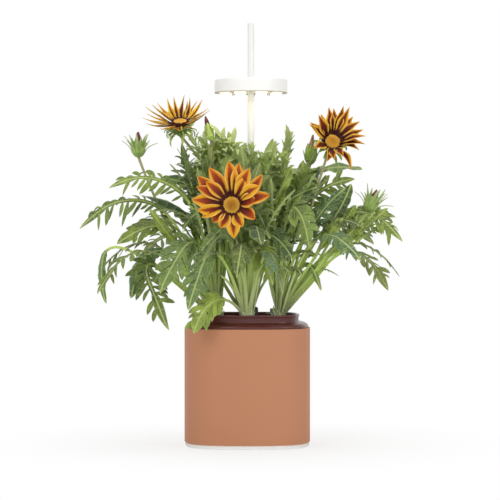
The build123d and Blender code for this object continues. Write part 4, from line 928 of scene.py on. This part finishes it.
# Ray petals: satin; a broad dark red stripe from a nearly black foot to a rusty tip, between margins that run
# from yellow at the foot to orange, with a thin bright edge
def petalMaterial(name, stripeTones, marginTones):
    material, add, where = startMaterial(name)
    along, across, hue = readField(add, "petalPlace")
    under = add("Attribute", {"attribute_name": "underside"}).outputs["Fac"]
    noise = add("TexNoise", {"Scale": 420.0, "Detail": 3.0}, {"Vector": where})  # streaks break up over about 2 mm
    off = add("Math ABSOLUTE", links={0: across})
    stirred = add("Math MULTIPLY_ADD", {1: 0.24}, {0: noise, 2: off})
    # half width of the stripe: nearly the whole petal less what grows with the petal's hue and towards the tip
    hueLoss = add("Math MULTIPLY_ADD", {1: -0.44, 2: 0.98}, {0: hue})
    tipLoss = add("Math POWER", {1: 3.0}, {0: along})
    stripeHalf = add("Math MULTIPLY_ADD", {1: -0.42}, {0: tipLoss, 2: hueLoss})
    beyond = add("Math SUBTRACT", links={0: stirred, 1: stripeHalf})
    margin = add("MapRange SMOOTHSTEP", {1: -0.26, 2: 0.10}, {0: beyond})
    ramps = []
    for foot, places, tones, tip in (("#341210", (0.22, 0.42, 0.70, 0.96), stripeTones, stripeTones[-1]),
                                     ("#2A0D0E", (0.18, 0.28, 0.60, 0.92), ("#5A1E10", *marginTones), "#E8A43A")):
        ramps.append(add("ValToRGB", links={0: along}))
        stops = ramps[-1].color_ramp.elements
        for place, tone in zip(places, tones):
            stops.new(place).color = srgb(tone)
        stops[0].color, stops[-1].color = srgb(foot), srgb(tip)
    yellowShare = add("Math MULTIPLY", {1: 0.85}, {0: hue})
    yellowHere = add("MapRange", {1: 0.18, 2: 0.34}, {0: along})
    yellowing = add("Math MULTIPLY", links={0: yellowShare, 1: yellowHere})
    warm = add("Mix RGBA", {7: "#F8C42A"}, {0: yellowing, 6: ramps[1]})
    striped = add("Mix RGBA", links={0: margin, 6: ramps[0], 7: warm})
    edge = add("MapRange", {1: 0.80, 2: 0.95, 4: 0.90}, {0: off})
    edgeHere = add("Math MULTIPLY", links={0: edge, 1: yellowHere})
    edged = add("Mix RGBA", {7: "#FFD868"}, {0: edgeHere, 6: striped})
    underShare = add("Math MULTIPLY", {1: 0.45}, {0: under})
    colour = add("Mix RGBA", {7: "#C98F34"}, {0: underShare, 6: edged})
    lines = add("Math MULTIPLY", {1: 34.0}, {0: across})
    ribs = add("Math SINE", links={0: lines})
    surface = coat(add, colour, ribs, 0.3, 0.3, {"Roughness": 0.50, "Specular IOR Level": 0.28, "Sheen Weight": 0.04,
                                                 "Sheen Roughness": 0.35})[0]
    glow = add("BsdfTranslucent", links={"Color": colour})
    mixed = add("MixShader", {0: 0.22}, {1: surface, 2: glow})
    add("OutputMaterial", links={"Surface": mixed})
    return material


# Disc florets: mealy with pollen, ochre, darker in each floret's mouth; the anthers round them nearly black
def floretMaterial():
    material, add, where = startMaterial("PollenFloret")
    outwards, inMouth = readField(add, "floretPlace")[:2]
    grain = add("TexNoise", {"Scale": 1800.0}, {"Vector": where})  # pollen grains about half a millimetre across
    ring = add("MapRange", {1: 0.2, 2: 0.8}, {0: outwards})
    tone = add("Mix RGBA", {6: "#EFC052", 7: "#FADA70"}, {0: ring})
    deep = add("MapRange", {1: 0.2, 2: 0.6}, {0: inMouth})
    mouth = add("Mix RGBA", {6: "#CE9A3E"}, {0: deep, 7: tone})
    dark = add("MapRange", {1: 1.0, 2: 1.4}, {0: outwards})
    colour = add("Mix RGBA", {7: "#562620"}, {0: dark, 6: mouth})
    surface = coat(add, colour, grain, 0.5, 0.2, {"Roughness": 0.8, "Specular IOR Level": 0.25})[0]
    add("OutputMaterial", links={"Surface": surface})
    return material


# Stems, cups and bracts: finely hairy and green in two tones, flushed towards the end
def stemMaterial(name, low, high, flush):
    material, add, where = startMaterial(name)
    along, _, own = readField(add, "petalPlace")
    hair = add("TexNoise", {"Scale": 1400.0, "Detail": 3.0}, {"Vector": where})  # hairs under a millimetre apart
    blotch = add("TexNoise", {"Scale": 140.0}, {"Vector": where})  # blotches about 7 mm across
    stirred = add("Math MULTIPLY_ADD", {1: 0.6, 2: -0.3}, {0: own})
    share = add("Math ADD", {"use_clamp": True}, {0: blotch, 1: stirred})
    green = add("Mix RGBA", {6: low, 7: high}, {0: share})
    tipShare = add("MapRange", {1: 0.45, 4: 0.65}, {0: along})
    colour = add("Mix RGBA", {7: flush}, {0: tipShare, 6: green})
    surface = coat(add, colour, hair, 0.4, 0.3, {"Roughness": 0.6, "Specular IOR Level": 0.35, "Sheen Weight": 0.3,
                                                 "Sheen Roughness": 0.4})[0]
    add("OutputMaterial", links={"Surface": surface})
    return material


# stripes from foot to tip, then margins
petalFinishes = {
    "flower_front": petalMaterial("SatinRayPetal", ("#4A140C", "#701E0A", "#A03C0E", "#C2621A"),
                                  ("#E8A422", "#EE941C", "#E8861E")),
    "flower_left": petalMaterial("YellowRayPetal", ("#3E100E", "#58160C", "#6E220E", "#6A4220"),
                                 ("#ECB636", "#F4C84A", "#D8B458")),
    "flower_right": petalMaterial("DarkRayPetal", ("#3E100E", "#5E180C", "#84300E", "#9A5018"),
                                  ("#EAAE28", "#F2AE26", "#F0AE34")),
}
floretFinish = floretMaterial()
calyxFinish = stemMaterial("HairyCalyx", "#66802F", "#A2BC52", "#AEC060")
stemFinish = stemMaterial("HairyStem", "#869C4C", "#B2C46C", "#B29A84")
budTipFinish = stemMaterial("FoldedPetals", "#4A1B30", "#6E2F36", "#8A4A3A")
freshFinish = stemMaterial("FreshCalyx", "#93AF40", "#C8DA76", "#C8D484")
paleFinish = stemMaterial("PaleCalyx", "#7F9C4A", "#BACF7C", "#C6CFA2")
spentFinish = stemMaterial("WiltedPetals", "#6E4038", "#C09A78", "#8A5E54")

stems = {name: Shape() for name in sites}
for number, (name, (bearer, bend, _, _)) in enumerate(blooms.items()):
    random = np.random.default_rng(seeds["stem"] + number)
    centre, ahead = bloomMiddle(name)
    length = bloomSize["calyxLength"] if name in flowerLook else bloomSize["budLength"] / 2
    start = sites[bearer]
    stemSkin(stems[bearer], start, start + np.array(bend, float), centre - ahead * (length - 0.5), random)

for name, shape in stems.items():
    if shape.count:
        shape.make("stems_" + name, stemFinish, "deck", "leaf_green", ["plant_" + name])

for number, (name, look) in enumerate(flowerLook.items()):
    random = np.random.default_rng(seeds["flower"] + number)
    middle, facing = bloomMiddle(name)
    petals = Shape()
    for i, (sideways, upwards) in enumerate(petalTips[name]):
        # what is left of the petal's reach after sideways and upwards is depth, to the side that best fits a
        # cup that opens the way the flower faces
        rest = min(max(look["reach"] ** 2 - sideways ** 2 - upwards ** 2, 0) ** 0.5, look["deep"])
        options = [np.array([sideways, depth, upwards]) for depth in (-rest, rest)]
        lean = [abs(np.dot(unit(option), facing) - 0.28) for option in options]
        petalShape(petals, middle, facing, middle + options[int(np.argmin(lean))], look, 1.1 * (i % 2), random)
    petals.make(name + "_petals", petalFinishes[name], "deck", "petals", [name])
    disc = Shape()
    discShape(disc, middle, facing, look["disc"])
    disc.make(name + "_disc", floretFinish, "deck", "petals", [name])
    calyx = Shape()
    calyxShape(calyx, middle, facing, look["bracts"], random)
    calyx.make(name + "_calyx", calyxFinish, "deck", "bud_green", [name])
print("flowers made")


budSize = {
    "sides": 40,
    "ribs": 10,
    "ribRelief": 0.05,
    "sepalRings": (9, 8),
    "sepalHalf": 2.2,
    "petals": 9,
    "petalHalf": 2.4,
    "bladeThick": 0.5,
    "bladeFold": 0.3,
    "bladeRows": 14,
    "bladeColumns": 5,
}


def budShape(calyx, folded, middle, facing, look, random):
    # an egg-shaped cup with pointed sepals that stand away from it by open, and folded petals inside
    size = budSize
    blade = (size["bladeThick"], size["bladeFold"])
    half = bloomSize["budLength"] / 2
    z = np.linspace(-1, 0.75, size["bladeRows"])
    radius = look["radius"] * 0.88 * np.sqrt(np.clip(1 - (0.9 * z - 0.1) ** 2, 0.02, 1)) * (1 - 0.16 * z)
    cupSkin(calyx, middle, facing, list(zip(radius, half * z)), size["sides"], size["ribs"], size["ribRelief"])
    t = np.linspace(0, 1, size["bladeRows"])
    for layer, count in enumerate(size["sepalRings"]):
        for i in range(count):
            out = around(facing, 2 * math.pi * (i + 0.5 * layer) / count + random.normal(0, 0.1))
            wide = look["open"] * random.uniform(0.5, 1.3) * (0.6 + 0.6 * layer)
            long = random.uniform(*look["sepals"])
            line = (middle + out * (look["radius"] * 0.84) + facing * (half * (-0.1 - 0.4 * layer))
                    + facing * (long * (t - 0.35 * wide * t ** 2))[:, None]
                    + out * (long * wide * t ** 1.6 - look["radius"] * 0.8 * (1 - look["open"]) * t ** 2.4)[:, None])
            width = size["sepalHalf"] * (1 - t) ** 0.7 * (0.8 + 0.6 * t) + 0.12
            bladeSkin(calyx, line, facing * 0.3 - out, width, *blade, random.uniform(0, 1), size["bladeColumns"])
    for i in range(size["petals"]):
        out = around(facing, 2 * math.pi * i / size["petals"] + 0.3)
        long = (half * 0.5 + look["tip"]) * random.uniform(0.75, 1.0)
        line = (middle + facing * (half * 0.5) + out * (look["radius"] * 0.5)
                + facing * (long * t)[:, None] - out * (look["radius"] * 0.42 * t ** 1.2)[:, None])
        width = size["petalHalf"] * (1 - t ** 2) ** 0.8 + 0.15
        bladeSkin(folded, line, facing * 0.2 - out, width, *blade, random.uniform(0, 1), size["bladeColumns"])


for number, (name, look) in enumerate(budLook.items()):
    random = np.random.default_rng(seeds["bud"] + number)
    middle, facing = bloomMiddle(name)
    calyx, folded = Shape(), Shape()
    budShape(calyx, folded, middle, facing, look, random)
    cupFinish = {"bud_centre": freshFinish, "bud_spent": calyxFinish}.get(name, paleFinish)
    calyx.make(name + "_sepals", cupFinish, "deck", "bud_green", [name])
    folded.make(name + "_folded", spentFinish if name == "bud_spent" else budTipFinish, "deck", "bud_green", [name])
print("buds made")


crownSize = {
    "sheaths": 26,
    "sunk": 3.4,
    "long": 15,
    "half": 2.6,
    "thick": 0.9,
    "fold": 0.35,
    "rows": 10,
    "columns": 7,
}


def crownShape(shape, start, random):
    # overlapping sheaths that stand round the heart of the plant, paler towards their feet
    size = crownSize
    t = np.linspace(0, 1, size["rows"])
    for i in range(size["sheaths"]):
        angle = i * goldenAngle
        share = (i + 0.5) / size["sheaths"]
        out = np.array([math.cos(angle), math.sin(angle), 0.0])
        foot = start + out * (site["crownRadius"] * (0.35 + 0.62 * share)) - up * size["sunk"]
        long = size["long"] - 6 * share + random.uniform(-1, 1)
        line = foot + up * (long * t)[:, None] + out * (long * (0.05 + 0.22 * share) * t ** 1.5)[:, None]
        width = size["half"] * (1 - t ** 2.2) ** 0.8 + 0.15
        bladeSkin(shape, line, up * 0.3 - out, width, size["thick"], size["fold"], random.uniform(0, 1),
                  size["columns"])


crownFinish = stemMaterial("PaleSheath", "#C5D29C", "#E3E9CB", "#A9BF7C")
for number, (name, start) in enumerate(sites.items()):
    crown = Shape()
    crownShape(crown, start, np.random.default_rng(seeds["crown"] + number))
    crown.make("crown_" + name, crownFinish, "deck", "leaf_green", ["plant_" + name])


# The pot's rim, with its roll and its soft shoulder: its outline, then its profile
outlineSize = {
    "half": 69.0,
    "sideRadius": 170.0,
    "cornerRadius": 38.0,
    "sideSteps": 14,
    "cornerSteps": 16,
}


def outlinePoints(insets):
    # a squared circle: four shallow side arcs joined by four corner arcs, all moved inwards by each inset
    size = outlineSize
    away = size["half"] - size["sideRadius"]
    apart = size["sideRadius"] - size["cornerRadius"]
    # where the arcs meet: away + apart x cos(b) = apart x sin(b)
    bend = math.acos(-away / (apart * math.sqrt(2))) - math.pi / 4
    corner = apart * math.sin(bend)
    sideAngle = np.linspace(-bend, bend, size["sideSteps"], endpoint=False)
    cornerAngle = np.linspace(bend, math.pi / 2 - bend, size["cornerSteps"], endpoint=False)
    insets = np.asarray(insets)[:, None]
    x = np.hstack([away + (size["sideRadius"] - insets) * np.cos(sideAngle),
                   corner + (size["cornerRadius"] - insets) * np.cos(cornerAngle)])
    y = np.hstack([(size["sideRadius"] - insets) * np.sin(sideAngle),
                   corner + (size["cornerRadius"] - insets) * np.sin(cornerAngle)])
    quarters = [(x, y), (-y, x), (-x, -y), (y, -x)]
    return np.hstack([part[0] for part in quarters]), np.hstack([part[1] for part in quarters])


def softened(corners, steps=6):
    # each corner (inset, height, cut) becomes a curve that starts and ends cut away from it
    places = np.array([corner[:2] for corner in corners])
    points = []
    for i, (*_, cut) in enumerate(corners):
        here, before, after = places[i], places[i - 1], places[(i + 1) % len(places)]
        if not cut:
            points.append(here)
            continue
        start = here + unit(before - here) * min(cut, np.linalg.norm(before - here) * 0.5)
        end = here + unit(after - here) * min(cut, np.linalg.norm(after - here) * 0.5)
        t = np.linspace(0, 1, steps)[:, None]
        points.extend(start * (1 - t) ** 2 + here * (2 * t * (1 - t)) + end * t ** 2)
    return np.array(points)


rimSize = {
    "spigot": (5.57, 6.75, 123.0),
    "seat": (3.33, 127.0),
    "shoulderEdge": (2.0, 129.5, 130.4),
    "neck": (12.6, 135.7),
    "lip": (11.8, 141.3, 143.9),
    "throat": 14.8,
    "ledge": (17.8, 134.1, 131.3),
}


def rimShape(shape):
    # up the outside, a quarter ellipse over the shoulder, up the neck to the rolled lip, down the throat
    size = rimSize
    edge, edgeLow, edgeHigh = size["shoulderEdge"]
    neck, neckFoot = size["neck"]
    lip, lipLow, lipHigh = size["lip"]
    ledge, ledgeHigh, ledgeLow = size["ledge"]
    outer, inner, foot = size["spigot"]
    seat, seatHigh = size["seat"]
    turn = np.linspace(0, np.pi / 2, 18)
    shoulder = np.stack([neck - (neck - edge) * np.cos(turn),
                         edgeHigh + (neckFoot - edgeHigh) * np.sin(turn)], axis=1)
    low = softened([(outer, foot, 0.3), (outer, seatHigh, 0.2), (seat, seatHigh, 0.3), (seat, edgeLow, 0.2),
                    (edge, edgeLow, 0.3)])
    high = softened([(neck, neckFoot + 0.3, 1.2), (neck, lipLow, 0.6), (lip, lipLow + 0.2, 0.6), (lip, lipHigh, 1.0),
                     (size["throat"], lipHigh, 0.9), (size["throat"], ledgeHigh, 0.8), (ledge, ledgeHigh, 0.6),
                     (ledge, ledgeLow, 0.6), (inner, seatHigh, 0.6), (inner, foot, 0.3)])
    profile = np.vstack([low[1:], shoulder[:-1], high[1:-1]])
    x, y = outlinePoints(profile[:, 0])
    rings = np.stack([x, y, np.broadcast_to(profile[:, 1:], x.shape)], axis=-1)
    shape.addSkin(rings, endless=True)


def moulded(name, low, high, roughness, grit, depth, specular=0.5):
    # moulded plastic: two close tones in clouds about 70 mm across, and a fine spark-eroded grain of grit mm
    material, add, where = startMaterial(name)
    cloud = add("TexNoise", {"Scale": 14.0, "Detail": 2.0}, {"Vector": where})
    grain = add("TexNoise", {"Scale": 1000.0 / grit, "Detail": 2.0}, {"Vector": where})
    colour = add("Mix RGBA", {6: low, 7: high}, {0: cloud})
    rough = add("MapRange", {3: roughness - 0.05, 4: roughness + 0.05}, {0: grain})
    surface = coat(add, colour, grain, 0.3, depth, {"Specular IOR Level": specular}, {"Roughness": rough})[0]
    add("OutputMaterial", links={"Surface": surface})
    return material


def lampShell(name, low, high, shadeLineTone, shadeLineTop):
    # moulded plastic with a painted shade line along its lower edge, standing in for the shadow in the gap above the
    # lens plate
    material = moulded(name, low, high, 0.45, 0.5, 0.02)
    tree = material.node_tree
    add = partial(addNode, tree)
    base = [node for node in tree.nodes if node.type == "BSDF_PRINCIPLED"][0].inputs["Base Color"]
    height = add("SeparateXYZ", links={0: add("TexCoord").outputs["Object"]}).outputs["Z"]
    # painted shade: below the height of the line's top the shell takes the darker tone
    shadeLine = add("MapRange SMOOTHSTEP", {1: (shadeLineTop - 0.2) * metre, 2: (shadeLineTop + 0.2) * metre, 3: 1.0, 4: 0.0},
               {0: height})
    colour = add("Mix RGBA", {7: shadeLineTone}, {0: shadeLine, 6: base.links[0].from_socket})
    tree.links.new(colour.outputs[2], base)
    return material


def metal(name, tone, roughness, grit):
    # turned or drawn metal: a fine grain that only stirs the roughness
    material, add, where = startMaterial(name)
    grain = add("TexNoise", {"Scale": 1000.0 / grit, "Detail": 3.0}, {"Vector": where})
    rough = add("MapRange", {3: roughness - 0.08, 4: roughness + 0.08}, {0: grain})
    surface = add("BsdfPrincipled", {"Base Color": tone, "Metallic": 1.0}, {"Roughness": rough})
    add("OutputMaterial", links={"Surface": surface})
    return material


def lit(name, tone, side, down):
    # a frosted lens with a lamp behind it: it glows at its sides and shines mostly straight down, by the
    # square of how far its surface faces down
    material, add, where = startMaterial(name)
    height = add("SeparateXYZ", links={0: where.node.outputs["Normal"]}).outputs["Z"]
    facing = add("MapRange", {1: 0.0, 2: -1.0}, {0: height})
    squared = add("Math POWER", {1: 2.0}, {0: facing})
    power = add("MapRange", {3: side, 4: down}, {0: squared})
    surface = add("BsdfPrincipled", {"Base Color": "#F6F0DE", "Roughness": 0.4, "Emission Color": tone},
                  {"Emission Strength": power})
    add("OutputMaterial", links={"Surface": surface})
    return material


# Finishes of the slots: two tones, roughness, grit and depth of grain in mm, and how strongly it shines; for a
# metal its tone, roughness and grit; for what is lit its tone and how strongly it glows sideways and down
finishes = {
    "shell_white": moulded("WhiteAbs", "#ECEAE6", "#F1EFEB", 0.42, 0.5, 0.03),
    "inner_grey": moulded("GreyAbs", "#56565A", "#626266", 0.55, 0.5, 0.04),
    "steel": metal("ZincPlatedSteel", "#B9BABB", 0.32, 0.4),
    "rubber": moulded("BlackRubber", "#1E1E1E", "#262626", 0.78, 0.8, 0.08, 0.3),
    "terracotta": moulded("TerracottaSatinAbs", "#B87D5B", "#BE8360", 0.60, 0.45, 0.05, 0.4),
    "circuit_green": moulded("SolderMaskBoard", "#124A2C", "#185A36", 0.30, 1.2, 0.02),
    "chip_black": moulded("EpoxyPackage", "#161616", "#1F1F1F", 0.45, 0.3, 0.02),
    "contact_brass": metal("GoldPlatedBrass", "#C9A864", 0.25, 0.3),
    "pot_brown": moulded("RedBrownPolypropylene", "#4B1C16", "#59231D", 0.30, 0.6, 0.03, 0.4),
    "deck_dark": moulded("DarkPolypropylene", "#33201E", "#3E2826", 0.48, 0.6, 0.04),
    "float_white": moulded("FoamedFloat", "#E4E3DE", "#ECEBE7", 0.5, 0.7, 0.04),
    "mast_white": moulded("PowderCoatedTube", "#ECEBE7", "#F0EFEB", 0.40, 0.6, 0.02),
    "lamp_white": moulded("WhiteLampShell", "#F5F4F1", "#F9F8F5", 0.45, 0.5, 0.02),
    "aluminium": metal("BareAluminium", "#C6C7C9", 0.38, 0.5),
    "board_white": moulded("WhiteSolderMask", "#E6E6E2", "#EEEEEA", 0.35, 0.8, 0.01),
    "led_yellow": lit("PhosphorChip", "#FFF0B8", 1.0, 6.0),
    "lens_plate": moulded("IvoryLensPlate", "#EFE9D6", "#F5F0E0", 0.45, 0.6, 0.02),
    "lens_glow": lit("FrostedPod", "#FFF2CE", 0.36, 14.0),
    "peg_grey": moulded("NaturalNylonPeg", "#D8D3C6", "#E0DBCE", 0.5, 0.5, 0.02),
    "cup_black": moulded("BlackNetCup", "#151515", "#1E1E1E", 0.5, 0.6, 0.04),
    "plug_brown": moulded("PeatPlug", "#2A1A10", "#5A3E28", 0.95, 2.2, 0.9, 0.15),
    "wick_felt": moulded("CottonWick", "#D8D4C8", "#E2DED4", 0.9, 0.9, 0.3, 0.2),
    "petals": petalFinishes["flower_front"],
    "bud_green": calyxFinish,
    "leaf_green": leafLook,
}
blackened = metal("BlackNickelShell", "#2E2F31", 0.35, 0.3)
# the lamp housing's shell, with its painted shade line along the lower edge
shadeLined = lampShell("SealedLampShell", "#F5F4F1", "#F9F8F5", "#BDB5A2", 387.0)
rim = Shape()
rimShape(rim)
rim.make("pot_rim", finishes["pot_brown"], "pot", "pot_brown", ["rim_collar"], sharp=60)
slotOf = {row["node"]: row["material_slot"] for row in frame["record"]["subparts"]}
for name, node in frame["nodes"].items():
    if not node.material_slots:
        node.data.materials.append(None)
    for slot in node.material_slots:
        slot.material = {"lamp_housing": shadeLined, "power_inlet": blackened}.get(name, finishes[slotOf[name]])
print("finishes set")


studio = {
    "floorSide": 12.0,
    "floorNear": 0.74,
    "floorReach": (0.08, 0.34),
    "ambient": 0.50,
    "camera": (0.003, -2.42, 0.2337),
    "cameraPitch": -0.47,
    "cameraLens": 158.4,
}


# A matt white floor: part of it shines for the camera alone, all of it beyond the object's shadow, so it
# stays white and still takes the shadow
def floorMaterial():
    material, add, where = startMaterial("MattFloorPaint")
    away = add("VectorMath LENGTH", links={0: where})
    near, far = studio["floorReach"]
    share = add("MapRange SMOOTHSTEP", {1: near, 2: far, 3: studio["floorNear"]}, {0: away})
    seen = add("Math MULTIPLY", links={0: add("LightPath").outputs["Is Camera Ray"], 1: share})
    matt = add("BsdfDiffuse", {"Color": (0.86, 0.86, 0.86, 1.0)})
    shine = add("Emission", {"Color": white, "Strength": 1.0})
    mixed = add("MixShader", links={0: seen, 1: matt, 2: shine})
    add("OutputMaterial", links={"Surface": mixed})
    return material


floorMesh = bpy.data.meshes.new("floor")
side = studio["floorSide"] / 2
floorMesh.from_pydata([(-side, -side, 0), (side, -side, 0), (side, side, 0), (-side, side, 0)], [], [(0, 1, 2, 3)])
floorMesh.materials.append(floorMaterial())
floor = addObject("floor", floorMesh)

world = bpy.data.worlds.new("softStudio")
bpy.context.scene.world = world
world.use_nodes = True
world.node_tree.nodes.clear()
add = partial(addNode, world.node_tree)
rays = add("LightPath").outputs
seen = add("Math MAXIMUM", links={0: rays["Is Camera Ray"], 1: rays["Is Glossy Ray"]})
seen = add("Math MAXIMUM", links={0: seen, 1: rays["Is Transmission Ray"]})
strength = add("MapRange", {3: studio["ambient"]}, {0: seen})
sky = add("Background", {"Color": white}, {"Strength": strength})
add("OutputWorld", links={"Surface": sky})

# Each lamp: where it stands and its size in metres, and its power in watts; all look at the plant
lamps = {
    "keyLamp": ((-1.3, -1.9, 1.9), 1.6, 23.5),
    "fillLamp": ((1.7, -1.5, 1.1), 1.8, 15.6),
    "topLamp": ((0.2, 0.3, 2.4), 1.0, 11.5),
    "backLamp": ((-0.4, 2.1, 1.3), 1.6, 9.0),
    "lowLamp": ((0.4, -2.0, 0.15), 1.4, 4.0),
}
aim = np.array([0.0, 0.0, 0.24])
for name, (place, size, power) in lamps.items():
    lamp = bpy.data.lights.new(name, "AREA")
    lamp.shape = "DISK"
    lamp.size = size
    lamp.energy = power
    holder = addObject(name, lamp)
    holder.location = place
    x, y, z = aim - np.array(place)
    holder.rotation_euler = (math.atan2(math.hypot(x, y), -z), 0.0, math.atan2(y, x) - math.pi / 2)

camera = bpy.data.cameras.new("camera")
camera.sensor_width = 36.0
camera.lens = studio["cameraLens"]
camera.clip_end = 40.0
cameraHolder = addObject("camera", camera)
cameraHolder.location = studio["camera"]
cameraHolder.rotation_euler = (math.radians(90 + studio["cameraPitch"]), 0.0, 0.0)
bpy.context.scene.camera = cameraHolder
bpy.context.scene.view_settings.view_transform = "Standard"
print("studio set")
